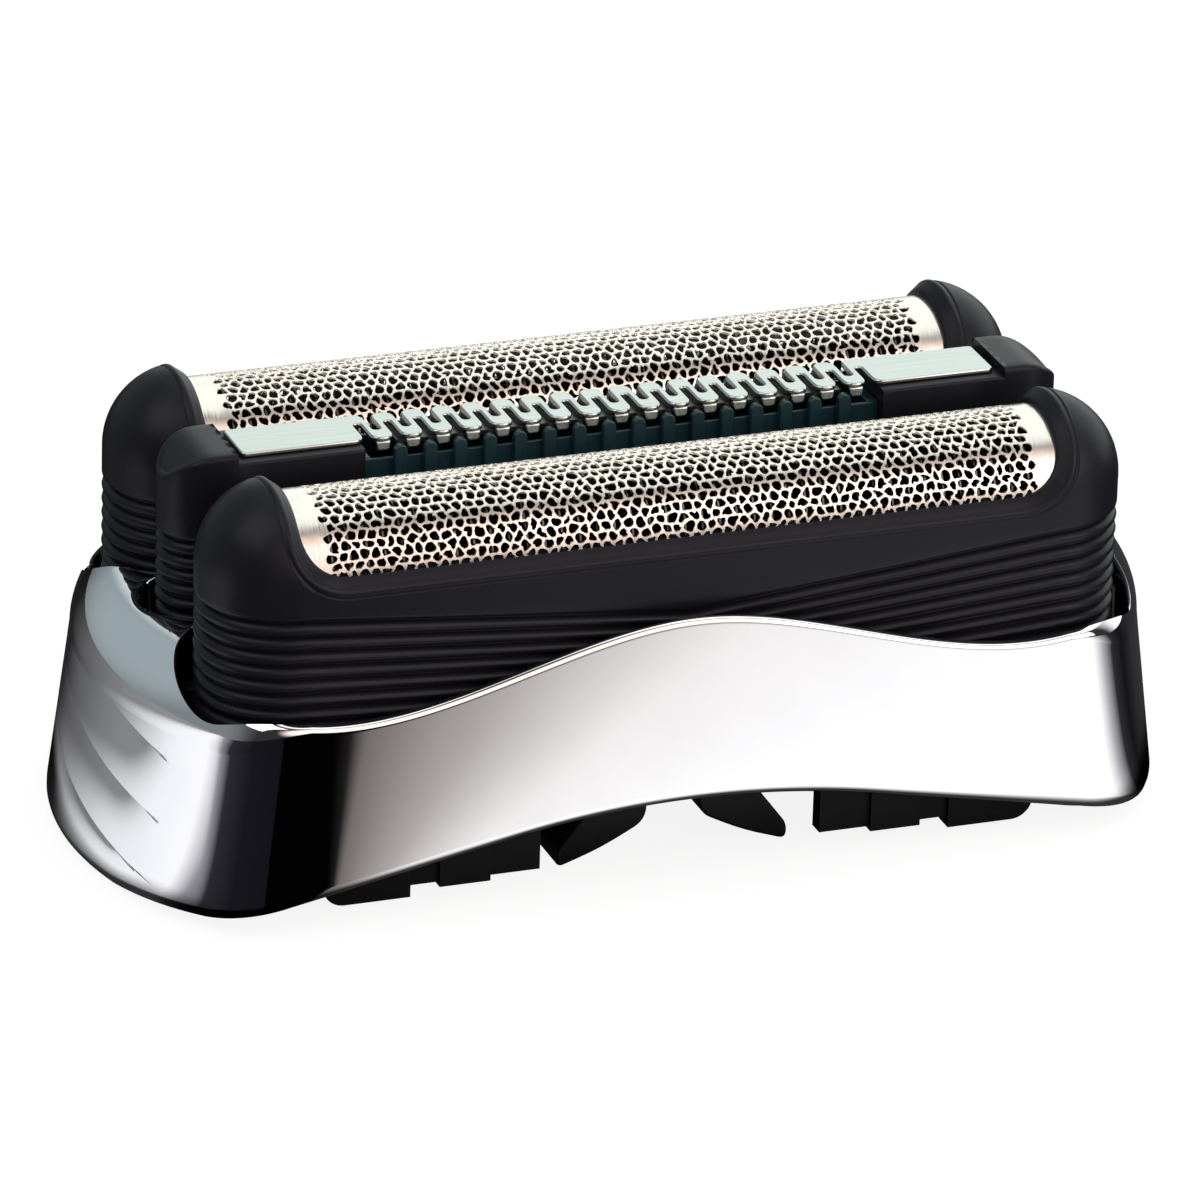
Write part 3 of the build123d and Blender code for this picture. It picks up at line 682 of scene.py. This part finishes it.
trimmer_catch_proud = 1.6
shoulder = 2.6
deck_recess = 0.35
channel_half_width = 1.5
channel_depth = 1.7
trimmer_rib_top = 17.2
sheet_thickness = 0.3
rib_onset = radians(25)
foot_edge = 0.2
crown_round = 0.3
deck_edge = 0.15
trough_edge = 0.1
rim_steps = 5
end_steps = (6, 14)
deck_steps = 5
body_low, body_high = box_mm("trimmer_body")
comb_low, comb_high = box_mm("trimmer_comb")
guard_low, guard_high = box_mm("trimmer_guard")
body_side = body_high[1]
body_end = body_high[0] - trimmer_catch_proud
round_centre = body_end - body_side
sheet_bottom = comb_high[2] - sheet_thickness
deck_end = comb_high[0] + deck_recess
gap_end = guard_high[0]
gap_floor = guard_low[2]
channel_floor = gap_floor - channel_depth


def shoulder_height(x):
    """Top of the trimmer's end seen from the front."""
    beyond = max(x - (body_end - shoulder), 0)
    return body_high[2] - shoulder + sqrt(max(shoulder**2 - beyond**2, 0))


def trimmer_column(x, turn, top, inset_top):
    """One upright of the trimmer's side, from its bottom edge over the rim to the middle of its top."""
    ribbed = min(turn / rib_onset, 1)
    wall = [(body_low[2], foot_edge), (body_low[2] + foot_edge, 0)]
    for rib in reversed(range(rib_count)):
        level = trimmer_rib_top - rib * rib_pitch
        wall += [(level + up, inset * ribbed) for up, inset in rib_profile]
    last = wall[-1][0]
    wall += [(last + (top - inset_top - last) * share, 0) for share in (0.4, 0.8)]
    bends = np.linspace(0, pi / 2, rim_steps)
    rim = [(top - inset_top * (1 - sin(t)), inset_top * (1 - cos(t))) for t in bends]
    column = []
    for z, inset in wall + rim:
        reach = body_side - inset
        column.append((x + reach * sin(turn), -reach * cos(turn), z))
    return column


uprights = []
for x in np.linspace(deck_end, round_centre, end_steps[0]):
    uprights.append(trimmer_column(x, 0, shoulder_height(x), crown_round))
for turn in np.linspace(0, pi / 2, end_steps[1])[1:]:
    top = shoulder_height(round_centre + (body_side - crown_round) * sin(turn))
    uprights.append(trimmer_column(round_centre, turn, top, crown_round))
crown = []
for column in uprights:
    x, y, _ = column[-1]
    crown.append([(x, y * share, shoulder_height(x)) for share in (1, 0.75, 0.5, 0.25, 0)])
end_face = []
for share in (-1, -0.5, 0):
    foot = (deck_end, share * body_side, sheet_bottom)
    end_face.append([foot, (deck_end, share * (body_side - crown_round), body_high[2])])
deck_columns = np.linspace(gap_end, deck_end, deck_steps)
halves = (1, 0.5, 0)
sides = [trimmer_column(x, 0, sheet_bottom, deck_edge) for x in deck_columns]
deck = [[(x, -(body_side - deck_edge) * share, sheet_bottom) for share in halves] for x in deck_columns]
gap_levels = (channel_floor, gap_floor, sheet_bottom)
gap_face = [[(gap_end, -body_side * share, z) for share in halves] for z in gap_levels]
trough = []
for x in np.linspace(0, gap_end, deck_steps):
    column = trimmer_column(x, 0, gap_floor, trough_edge)
    column.append((x, -channel_half_width, gap_floor))
    column += [(x, -channel_half_width, channel_floor), (x, 0, channel_floor)]
    trough.append(column)
underside = []
for column in trough + sides + uprights:
    x, y, z = column[0]
    underside.append([(x, y, z), (x, 0, z)])
grids = mirrored([uprights, crown, end_face, sides, deck, gap_face, trough, underside])
for end in (-1, 1):
    grids += catch_block(
        end * round_centre, end * (body_end + trimmer_catch_proud),
        -catch_half_width, catch_half_width, body_low[2], catch_height[1],
    )
skin("trimmer_block", grids, satin_abs, "trimmer", "black_moulding", "trimmer_body")


# Trimmer guard: a comb of round-topped fingers along both sides of the blade that keeps skin off
# it. Petrol acetal, injection moulded in one frame and snapped into the trimmer's gap.

finger_width = 0.7
finger_inner = 1.65
bar_outer = 1.7
lobe_pitch = 1.65
lobe_count = 17
frame_height = 1.1
guard_end = guard_high[0]
guard_side = guard_high[1]
guard_tie = 0.6
finger_edge = 0.06
finger_steps = 13

built = bmesh.new()
for side_y in (-1, 1):
    outer, inner = side_y * bar_outer, side_y * channel_half_width
    bar = [(-guard_end, outer), (guard_end, outer), (guard_end, inner), (-guard_end, inner)]
    prism(built, bar, lambda a, b, d: (a, b, guard_low[2] + d), frame_height)
    for finger in range(lobe_count - 1):
        middle = (finger - (lobe_count - 2) / 2) * lobe_pitch
        half = finger_width / 2
        tip = guard_high[2] - half
        outline = [(middle + half, guard_low[2]), (middle + half, tip)]
        for t in np.linspace(0, pi, finger_steps)[1:-1]:
            outline.append((middle + half * cos(t), tip + half * sin(t)))
        outline += [(middle - half, tip), (middle - half, guard_low[2])]
        depth = guard_side - finger_inner
        prism(built, outline, lambda a, b, d: (a, side_y * (finger_inner + d), b), depth)
for end in (-1, 1):
    tie = [(end * guard_end, -channel_half_width), (end * (guard_end - guard_tie), -channel_half_width)]
    tie += [(x, -y) for x, y in reversed(tie)]
    prism(built, tie, lambda a, b, d: (a, b, guard_low[2] + d), frame_height)
# The smooth mould leaves this acetal glossier, with its dark blue-green showing on the tips.
petrol_acetal = moulded_plastic(
    "petrol_acetal_moulded", "#10262b", "#1b3a41", roughness=0.3, gloss=0.4, grain=0.25, depth=0.008
)
guard = finish_piece(
    "trimmer_guard_fingers", built, petrol_acetal, "trimmer", ["trimmer_guard"]
)
break_edges(guard, finger_edge)


# Trimmer comb: one steel sheet laid over the blade, two plates joined by a snaking strip whose
# lobes are folded down at the edges. Stainless, blanked, folded and vibration polished.

slot_width = 0.42
slot_share = 0.66
lobe_corner = 0.56
plate_corner = 0.3
fold_width = 0.8
fold_corner = 0.22
fold_round = 0.1
fold_share = 2 / 3
tab_overlap = 0.05
tab_inset = 0.02
corner_count = 5
lobe_points = 6
slot_points = 9
sheet_half_width = comb_high[1]
sheet_half_length = comb_high[0]


def arc_points(centre, radius, start, end, count):
    """Points along an arc in plan, angles in degrees."""
    turns = np.radians(np.linspace(start, end, count))
    return [(centre[0] + radius * cos(t), centre[1] + radius * sin(t)) for t in turns]


def slotted_edge(cuts):
    """The front edge of the sheet from left to right, with a round-ended slot at each cut."""
    edge = []
    half = slot_width / 2
    base = -sheet_half_width
    slot_end = base + slot_share * 2 * sheet_half_width - half
    for x in cuts:
        reach = half + lobe_corner
        edge += arc_points((x - reach, base + lobe_corner), lobe_corner, -90, 0, lobe_points)
        edge += arc_points((x, slot_end), half, 180, 0, slot_points)
        edge += arc_points((x + reach, base + lobe_corner), lobe_corner, 180, 270, lobe_points)
    return edge


front_cuts = [(cut - lobe_count) * lobe_pitch / 2 for cut in range(0, 2 * lobe_count + 1, 2)]
rear_cuts = [(cut - lobe_count) * lobe_pitch / 2 for cut in range(1, 2 * lobe_count, 2)]
plate_x, plate_y = sheet_half_length - plate_corner, sheet_half_width - plate_corner
sheet = arc_points((-plate_x, -plate_y), plate_corner, 180, 270, corner_count)
sheet += slotted_edge(front_cuts)
sheet += arc_points((plate_x, -plate_y), plate_corner, 270, 360, corner_count)
sheet += arc_points((plate_x, plate_y), plate_corner, 0, 90, corner_count)
sheet += [(-x, -y) for x, y in slotted_edge([-x for x in reversed(rear_cuts)])]
sheet += arc_points((-plate_x, plate_y), plate_corner, 90, 180, corner_count)
built = bmesh.new()
prism(built, sheet, lambda a, b, d: (a, b, sheet_bottom + d), sheet_thickness)
fold_thickness = sheet_thickness * fold_share
for side_y, lobes in ((-1, lobe_count), (1, lobe_count - 1)):
    for lobe in range(lobes):
        middle = (lobe - (lobes - 1) / 2) * lobe_pitch
        half = fold_width / 2
        root = sheet_bottom + tab_overlap
        tab = [(middle - half, root), (middle + half, root)]
        corner_x, corner_z = half - fold_corner, comb_low[2] + fold_corner
        tab += arc_points((middle + corner_x, corner_z), fold_corner, 0, -90, corner_count)
        tab += arc_points((middle - corner_x, corner_z), fold_corner, -90, -180, corner_count)
        face = sheet_half_width - tab_inset
        prism(built, tab, lambda a, b, d: (a, side_y * (face - d), b), fold_thickness)
# Vibration polishing softens the rolling lines to a cool grey shine.
polished_stainless = spun_metal(
    "stainless_blanked_polished", "#a9b0ad", "#ccd1cf", roughness=0.22, streak=0.12, along="x"
)
comb = finish_piece(
    "trimmer_comb_sheet", built, polished_stainless, "trimmer", ["trimmer_comb"]
)
break_edges(comb, fold_round)


# Plated ring: the outer frame that all three units stand in. ABS, injection moulded, bright chrome
# plated; arched foot, waved rim, end decks scalloped round the units and shingled grips.

ring_half_length = cad_box[1].x / mm
ring_half_width = 14.15
ring_height = 15.5
ring_lean_ends = 2.0
ring_lean_sides = 0.55
ring_bow = 5.1
ring_corner = 5.0
ring_wall = 1.0
rim_points = [(-28.5, 13.0), (-21.0, 11.5), (0.0, 14.9), (21.0, 11.5), (28.5, 13.0)]
rim_round = 0.42
deck_top = 13.4
deck_fall = 1.6
deck_width = 4.0
deck_round = 2.1
inner_round = 0.2
foot_apex = 5.6
foot_flat_x = 28.5
foot_arch = 52.0
foot_round = 0.7
deck_under = 10.9
scallop_gap = 0.8
grip_depth = 0.4
grip_pitch = 3.45
grip_groove = 0.12
groove_at = 0.97
groove_half = 0.02
groove_taper = 2.2
grip_first = 0.1
grip_steps = 3
grip_tilt = radians(14)
grip_half_width = 9.0
grip_start = (0.0, 3.0)
grip_edge = 4.5
grip_fade = (-9.0, 0.0)
row_guard = 0.04
row_gap = 0.004
grip_curve = 1.8
grip_end = 0.001
grip_rows = (0.0001, 0.006, 0.2, 0.38, 0.54, 0.68, 0.79, 0.88, 0.944, 0.95, 0.97, 0.99)
foot_level = 6
foot_rows = 8
deck_rows = 18
inner_rows = 6
seam = 0.01
flank_stations = 44
corner_stations = 26
bow_stations = (44, 14)
bow_tries = 400
ring_sharp = 28
chrome_waves = 9
chrome_haze = 3

# Bright chrome over moulded ABS: a near mirror, softened by the moulding's slow waviness.
bright_chrome = surface(
    "abs_bright_chrome_plated", {"waves": ([chrome_waves] * 3, 1), "haze": ([chrome_haze] * 3, 4)},
    ("haze", "#ededf0", "#f6f6f8"), ("haze", 0.025, 0.06), ("waves", 0.1, 0.05), {"Metallic": 1},
)


def ring_at(part, share, z, inset):
    """A place on the ring's plan at a height: on the front flank, round the corner or on the bow."""
    lean = z / ring_height
    length = ring_half_length - ring_lean_ends * lean - inset
    width = ring_half_width - ring_lean_sides * lean - inset
    corner = ring_corner - inset
    bow = (width**2 + ring_bow**2) / (2 * ring_bow)
    bow_x = length - bow
    corner_x = bow_x + sqrt((bow - corner) ** 2 - (width - corner) ** 2)
    swing = atan2(width - corner, corner_x - bow_x)
    if part == "flank":
        return np.array((share * corner_x, -width))
    if part == "corner":
        turn = -pi / 2 + share * (pi / 2 - swing)
        return np.array((corner_x + corner * cos(turn), corner - width + corner * sin(turn)))
    turn = -swing * (1 - share)
    return np.array((bow_x + bow * cos(turn), bow * sin(turn)))


knots = np.array(rim_points)
spans = np.diff(knots[:, 0])
rises = np.diff(knots[:, 1]) / spans
system = np.zeros((len(knots), len(knots)))
target = np.zeros(len(knots))
system[0, 0] = system[-1, -1] = 1
for k in range(1, len(knots) - 1):
    system[k, k - 1 : k + 2] = (1 / spans[k - 1], 2 / spans[k - 1] + 2 / spans[k], 1 / spans[k])
    target[k] = 3 * (rises[k - 1] / spans[k - 1] + rises[k] / spans[k])
rim_slopes = np.linalg.solve(system, target)


def rim_height(x):
    """The waved top edge seen from the front: a smooth curve through its crest, dips and ends."""
    x = min(max(x, knots[0, 0]), knots[-1, 0])
    k = min(int(np.searchsorted(knots[:, 0], x, side="right")) - 1, len(spans) - 1)
    t = (x - knots[k, 0]) / spans[k]
    start, end = knots[k, 1], knots[k + 1, 1]
    lead, tail = rim_slopes[k] * spans[k], rim_slopes[k + 1] * spans[k]
    return (
        start * (1 + 2 * t) * (1 - t) ** 2 + lead * t * (1 - t) ** 2
        + end * t**2 * (3 - 2 * t) + tail * t**2 * (t - 1)
    )


def foot_height(x):
    """The arched lower edge seen from the front."""
    slope = atan2(foot_apex, foot_flat_x)
    if abs(x) < foot_arch * sin(slope):
        return foot_apex - foot_arch / cos(slope) + sqrt(foot_arch**2 - x**2)
    return max(foot_apex - tan(slope) * abs(x), 0)


cartridge_low, cartridge_high = box_mm("front_foil_frame")
lane_side = (cartridge_high[1] - cartridge_low[1]) / 2
lane_middle = cartridge_high[1] - lane_side
lane_end = cartridge_high[0] - catch_proud - lane_side
lane_round = lane_side + scallop_gap
trimmer_round = body_side + scallop_gap
unit_ends = [(round_centre, 0, trimmer_round), (lane_end, lane_middle, lane_round)]


def smooth_step(value, start, end):
    """Goes smoothly from 0 at the start to 1 at the end."""
    share = min(max((value - start) / (end - start), 0), 1)
    return share * share * (3 - 2 * share)


def opening_reach(centre, heading):
    """How far the deck's opening reaches from a point: round each unit's end, whichever is furthest."""
    reaches = []
    for x, y, radius in unit_ends:
        off = np.array((x, y)) - centre
        along = off @ heading
        inside = along**2 - off @ off + radius**2
        if inside >= 0:
            reaches.append(along + sqrt(inside))
    return max(reaches)


def grip_inset(level, y):
    """How far the shingled grip is sunk: each step deepens upwards, then springs back at the next."""
    step = (level - grip_first) / grip_pitch
    if not 0 <= step < grip_steps:
        return 0.0
    edge = smooth_step(grip_half_width - abs(y), 0, grip_edge)
    line = smooth_step(grip_half_width - abs(y), 0, groove_taper)
    groove = grip_groove * max(1 - abs(step % 1 - groove_at) / groove_half, 0) * line
    return (grip_depth * (step % 1) ** grip_curve * edge + groove) * smooth_step(y, *grip_fade)


wall_levels = []
for step in range(grip_steps):
    start = grip_first + step * grip_pitch
    wall_levels += [start + grip_pitch * share for share in grip_rows]
wall_levels += [grip_first + grip_steps * grip_pitch + grip_end]
flank_end = ring_at("flank", 1, rim_points[1][1], 0)
flank_end_rim = rim_height(flank_end[0])
corner_centre = flank_end + (0, ring_corner)
opening_side = lane_round - lane_middle
bow_start = ring_at("bow", 0, deck_top, 0)
bow_middle = ring_at("bow", 1, deck_top, 0)
bow_depth = bow_middle[0] - bow_start[0]
bow_radius = (bow_start[1] ** 2 + bow_depth**2) / (2 * bow_depth)
bow_centre = np.array((bow_middle[0] - bow_radius, 0))
bow_swing = asin(-bow_start[1] / bow_radius)
bow_turns = np.linspace(0, bow_swing / 2, bow_tries)
cusp_turn = min(bow_turns, key=lambda t: opening_reach(bow_centre, np.array((cos(t), -sin(t)))))
edge_shares = (0, 0.25, 0.5, 0.75, 1)
grip_turns = [asin((grip_half_width - grip_edge * share) / bow_radius) for share in edge_shares]
side_turns = np.linspace(bow_swing, cusp_turn, bow_stations[0])
middle_turns = np.linspace(cusp_turn, 0, bow_stations[1])[1:]
turns = sorted([*side_turns, *middle_turns, *grip_turns])
stations = [("flank", s) for s in np.linspace(0, 1, flank_stations)]
stations += [("corner", s) for s in np.linspace(0, 1, corner_stations)[1:]]
stations += [("bow", 1 - t / bow_swing) for t in reversed(turns[:-1])]


def ring_column(part, share, rear):
    """One upright loop of the ring's section: up the outside, over the rim, down inside and back."""
    flip = -1 if rear else 1
    bottom = foot_height(ring_at(part, share, foot_level, 0)[0])
    wall_start = bottom + foot_round
    x_out, y_out = ring_at(part, share, flank_end_rim, 0)
    end_share = {"flank": 0, "corner": smooth_step(share, 0, 1), "bow": 1}[part]
    flank_top = rim_height(x_out) if part == "flank" else flank_end_rim
    top = deck_top * end_share + flank_top * (1 - end_share)
    fall = deck_fall * end_share
    fillet = rim_round + (deck_round - rim_round) * end_share
    wall_end = top - fall - fillet
    slant = -tan(grip_tilt) * y_out * flip
    sloped = {"flank": 0, "corner": share, "bow": 1}[part]
    column = []

    def put(plan, z):
        """Adds a point to the loop, on the side that is asked for."""
        column.append((plan[0], plan[1] * flip, z))

    for t in np.linspace(0, pi / 2, foot_rows):
        z = bottom + foot_round * (1 - cos(t))
        put(ring_at(part, share, z, foot_round * (1 - sin(t))), z)
    low_row, high_row = wall_start + row_guard, wall_end - row_guard
    put(ring_at(part, share, low_row, 0), low_row)
    for k, level in enumerate(wall_levels):
        even = wall_start + (wall_end - wall_start) * (k + 1) / (len(wall_levels) + 1)
        z = even * (1 - sloped) + (level + slant) * sloped
        z = min(max(z, low_row + row_gap * (k + 1)), high_row - row_gap * (len(wall_levels) - k))
        gripped = smooth_step(z - wall_start, *grip_start) if part == "bow" else 0
        sunk = grip_inset(z - slant, y_out * flip) * gripped
        put(ring_at(part, share, z, 0) - (sunk, 0), z)
    put(ring_at(part, share, high_row, 0), high_row)
    outer = ring_at(part, share, wall_end, 0)
    if part == "flank":
        heading = np.array((0, -1))
        opening = np.array((share * lane_end, -opening_side))
    else:
        centre = corner_centre if part == "corner" else bow_centre
        heading = (outer - centre) / np.hypot(*(outer - centre))
        opening = centre + heading * opening_reach(centre, heading)
    across = opening - outer
    width = np.hypot(*across)
    lean = across / width

    def deck_height(depth):
        """Height of the deck at a depth behind the wall: a round shoulder, then a shallow slope."""
        t = min(sqrt(depth / fillet), 1)
        slope = top - fall * max(1 - max(depth, fillet) / deck_width, 0) ** 2
        return (1 - t) ** 2 * wall_end + 2 * t * (1 - t) * (top - fall) + t * t * slope

    edge = width - inner_round
    for t in np.linspace(0, 1, deck_rows)[:-1]:
        put(outer + lean * edge * t * t, deck_height(edge * t * t))
    for t in np.linspace(0, pi / 2, inner_rows):
        depth = width - inner_round * (1 - sin(t))
        put(outer + lean * depth, deck_height(edge) - inner_round * (1 - cos(t)))
    under = ring_at(part, share, deck_under, 0)
    inner = under - heading * min(ring_wall, (under - opening) @ heading)
    put(opening, deck_under)
    put(inner, deck_under - seam)
    put(inner, (bottom + deck_under) / 2)
    put(inner, bottom)
    column.append(column[0])
    return column


quarters = [[ring_column(part, share, rear) for part, share in stations] for rear in (False, True)]
quarters += [np.array(quarter) * (-1, -1, 1) for quarter in quarters]
skin("plated_ring", quarters, bright_chrome, "frame", "chrome_plate", "chrome_frame", sharp=ring_sharp)


# Studio: a white paper floor, which shows mirror rays painted reflections, light and dark tones that
# chrome needs to show its form, with painted shade near the ring; a dark surround with soft panels,
# two soft boxes, and the photograph's camera.

photo_size = 1200
focal_pixels = 10000
camera_azimuth = radians(20.645)
camera_elevation = radians(22.369)
camera_roll = radians(1.697)
camera_distance = 525.5
crown_pixel = (612.0, 394.4)
crown_height = 22.07
sensor = 36.0
floor_glow = 0.8
floor_white = 1.1
# Painted reflections: tones by bearing round two pivots, which the floor shows only to mirror rays, as
# dark and light bands in the chrome.
left_pivot = (-22.2, -8.75, 0)
left_painted_tones = [
    (-180, "#1a1a1d"), (-170, "#3c3c40"), (-156, "#98989c"), (-130, "#d6d8da"), (-112, "#e8eaec"),
    (-93, "#f4f4f6"), (-84, "#8d8b90"), (-72, "#2a292f"), (-45, "#17161b"), (-14, "#141318"),
    (-13, "#020203"), (21, "#020203"), (22.5, "#6f6a67"), (32, "#a9a4a1"), (43, "#eae7e5"),
    (62, "#ffffff"), (158, "#f0f0f2"), (172, "#505055"), (180, "#1a1a1d"),
]
right_pivot = (22.2, -8.75, 0)
right_painted_tones = [
    (-180, "#ffffff"), (44, "#ffffff"), (59, "#a8a8aa"), (73, "#2c2c2e"), (92, "#141416"),
    (150, "#3a3a3c"), (179, "#ffffff"),
]
ramp_end = 0.999
# Strength of the floor's painted reflections.
painted_reflection_strength = 1.2
dim_depth = (0.0, 24.0)
# Painted shade in the floor's reflections: darker behind the ring and out to its left, and a painted
# contact shadow round its foot.
dim_share = 0.3
dim_beside = (-20.0, -30.0)
contact_shadow_width = 4.5
contact_shadow_level = 0.03
foot_core = (24.8, 9.1)
surround_tone = "#29292b"
surround_light = 1.5
panels = [
    ((-0.85, 0.5, 0.1), "#6a7072", 0.3, 0.9),
    ((-0.45, 0.72, 0.6), "#848f92", 0.65, 0.97),
    ((0.75, 0.6, 0.28), "#f4fbf7", 0.6, 0.88),
    ((0.4, 0.25, 0.88), "#f4f8f6", 0.8, 0.93),
    ((0.25, -0.85, 0.45), "#f6e2d9", 0.74, 0.92),
]

floor_mesh = bpy.data.meshes.new("studio_floor")
floor_half = 900 * mm
floor_corners = [(x * floor_half, y * floor_half, 0) for x, y in ((-1, -1), (1, -1), (1, 1), (-1, 1))]
floor_mesh.from_pydata(floor_corners, [], [(0, 1, 2, 3)])
floor = bpy.data.objects.new("studio_floor", floor_mesh)
bpy.context.collection.objects.link(floor)
paper, output, place = new_material("white_paper_floor")
rays = add_node(paper, "LightPath").outputs
sheet_shade = add_node(paper, "BsdfDiffuse", {"Color": linear("#ececec")})
glow = add_node(paper, "Emission", {"Color": linear("#ffffff"), "Strength": floor_white})
lift = add_node(paper, "Math", {1: floor_glow}, {0: rays["Is Camera Ray"]}, operation="MULTIPLY")
bright = add_node(
    paper, "MixShader",
    links={"Fac": lift.outputs[0], 1: sheet_shade.outputs["BSDF"], 2: glow.outputs["Emission"]},
)


def bearing_tones(pivot, tones):
    """Painted reflection tones laid out by bearing round a pivot on the floor, in degrees from straight
    ahead.
    """
    spot = add_node(paper, "VectorMath", {1: Vector(pivot) * mm}, {0: place}, operation="SUBTRACT")
    reach = add_node(paper, "SeparateXYZ", links={"Vector": spot.outputs["Vector"]})
    toward = add_node(paper, "Math", {1: -1.0}, {0: reach.outputs["Y"]}, operation="MULTIPLY")
    sides = {0: reach.outputs["X"], 1: toward.outputs[0]}
    bearing = add_node(paper, "Math", links=sides, operation="ARCTAN2")
    turn = add_node(paper, "MapRange", {"From Min": -pi, "From Max": pi}, {"Value": bearing.outputs[0]})
    ramp = add_node(paper, "ValToRGB", links={"Fac": turn.outputs["Result"]})
    for number, (angle, tone) in enumerate(tones):
        stops = ramp.color_ramp.elements
        stop = stops[number] if number < 2 else stops.new(ramp_end)
        stop.position = angle / 360 + 0.5
        stop.color = linear(tone)
    return ramp.outputs["Color"]


# Painted reflection colour: the two bearing patterns multiplied.
painted_reflection_tones = add_node(
    paper, "Mix", {"Factor": 1.0},
    {"A": bearing_tones(left_pivot, left_painted_tones), "B": bearing_tones(right_pivot, right_painted_tones)},
    data_type="RGBA", blend_type="MULTIPLY",
)
depth = add_node(paper, "SeparateXYZ", links={"Vector": place})
# Painted shade: the reflected floor darkens behind the ring and out to its left.
dim = add_node(
    paper, "MapRange",
    {"From Min": dim_depth[0] * mm, "From Max": dim_depth[1] * mm, "To Min": 0, "To Max": 1 - dim_share},
    {"Value": depth.outputs["Y"]}, interpolation_type="SMOOTHSTEP",
)
beside = add_node(
    paper, "MapRange",
    {"From Min": dim_beside[0] * mm, "From Max": dim_beside[1] * mm, "To Min": 0, "To Max": painted_reflection_strength},
    {"Value": depth.outputs["X"]}, interpolation_type="SMOOTHSTEP",
)
both = {0: dim.outputs["Result"], 1: beside.outputs["Result"]}
shaded = add_node(paper, "Math", links=both, operation="MULTIPLY")
kept = add_node(paper, "Math", {0: painted_reflection_strength}, {1: shaded.outputs[0]}, operation="SUBTRACT")
spread = add_node(paper, "VectorMath", links={0: place}, operation="ABSOLUTE")
core = (foot_core[0] * mm, foot_core[1] * mm, 0)
past = add_node(paper, "VectorMath", {1: core}, {0: spread.outputs["Vector"]}, operation="SUBTRACT")
outside = add_node(paper, "VectorMath", {1: (0, 0, 0)}, {0: past.outputs["Vector"]}, operation="MAXIMUM")
distance = add_node(paper, "VectorMath", links={0: outside.outputs["Vector"]}, operation="LENGTH")
# Painted contact shadow: the reflected floor goes nearly black round the ring's foot.
contact_shadow_end = ring_corner + contact_shadow_width
painted_contact_shadow = add_node(
    paper, "MapRange",
    {"From Min": ring_corner * mm, "From Max": contact_shadow_end * mm, "To Min": contact_shadow_level, "To Max": 1},
    {"Value": distance.outputs["Value"]}, interpolation_type="SMOOTHSTEP",
)
near = {0: kept.outputs[0], 1: painted_contact_shadow.outputs["Result"]}
level = add_node(paper, "Math", links=near, operation="MULTIPLY")
# The floor glows with the painted reflection for mirror rays, in place of the paper.
painted_reflection_links = {"Color": painted_reflection_tones.outputs["Result"], "Strength": level.outputs[0]}
painted_reflection_glow = add_node(paper, "Emission", links=painted_reflection_links)
mixed = add_node(
    paper, "MixShader",
    links={"Fac": rays["Is Glossy Ray"], 1: bright.outputs[0], 2: painted_reflection_glow.outputs["Emission"]},
)
paper.node_tree.links.new(mixed.outputs[0], output.inputs["Surface"])
floor_mesh.materials.append(paper)

world = bpy.data.worlds.new("studio_surround")
bpy.context.scene.world = world
world.use_nodes = True
world.node_tree.nodes.clear()
surround = add_node(world, "OutputWorld")
direction = add_node(world, "TexCoord").outputs["Generated"]
colour = add_node(world, "RGB").outputs[0]
colour.default_value = linear(surround_tone)
for aim, tone, start, end in panels:
    middle = Vector(aim).normalized()
    facing = add_node(world, "VectorMath", {1: middle}, {0: direction}, operation="DOT_PRODUCT")
    share = add_node(
        world, "MapRange", {"From Min": start, "From Max": end},
        {"Value": facing.outputs["Value"]}, interpolation_type="SMOOTHSTEP",
    )
    mixed = {"Factor": share.outputs["Result"], "A": colour}
    colour = add_node(world, "Mix", {"B": linear(tone)}, mixed, data_type="RGBA").outputs["Result"]
lit = add_node(world, "Background", {"Strength": surround_light}, {"Color": colour})
white = add_node(world, "Background", {"Color": linear("#ffffff"), "Strength": 1.0})
eye = add_node(world, "LightPath").outputs["Is Camera Ray"]
chosen = add_node(
    world, "MixShader",
    links={"Fac": eye, 1: lit.outputs["Background"], 2: white.outputs["Background"]},
)
world.node_tree.links.new(chosen.outputs[0], surround.inputs["Surface"])


def soft_lamp(name, place, aim, size, power):
    """A square soft box that faces a point."""
    lamp = bpy.data.lights.new(name, "AREA")
    lamp.size = size * mm
    lamp.energy = power
    box = bpy.data.objects.new(name, lamp)
    box.location = Vector(place) * mm
    box.rotation_euler = (Vector(aim) - Vector(place)).to_track_quat("-Z", "Y").to_euler()
    bpy.context.collection.objects.link(box)


soft_lamp("key_soft_box", place=(-180, -60, 260), aim=(0, 0, 12), size=240, power=0.3)
soft_lamp("fill_soft_box", place=(220, -240, 160), aim=(0, 0, 10), size=220, power=0.3)

back = Vector((
    -sin(camera_azimuth) * cos(camera_elevation),
    -cos(camera_azimuth) * cos(camera_elevation),
    sin(camera_elevation),
))
level_right = Vector((cos(camera_azimuth), -sin(camera_azimuth), 0))
level_up = back.cross(level_right)
right = cos(camera_roll) * level_right + sin(camera_roll) * level_up
up = -sin(camera_roll) * level_right + cos(camera_roll) * level_up
centre_offset = [(photo_size / 2 - pixel) / focal_pixels for pixel in crown_pixel]
sight = (-back + right * centre_offset[0] - up * centre_offset[1]).normalized()
screen_right = sight.cross(up).normalized()
screen_up = screen_right.cross(sight)
camera = bpy.data.cameras.new("photo_camera")
camera.sensor_width = sensor
camera.lens = sensor * focal_pixels / photo_size
camera.clip_start = 10 * mm
camera.clip_end = 5000 * mm
stand = bpy.data.objects.new("photo_camera", camera)
stand.matrix_world = Matrix((screen_right, screen_up, -sight)).transposed().to_4x4()
stand.location = Vector((0, 0, crown_height * mm)) + back * camera_distance * mm
bpy.context.collection.objects.link(stand)
bpy.context.scene.camera = stand
bpy.context.scene.view_settings.view_transform = "Standard"
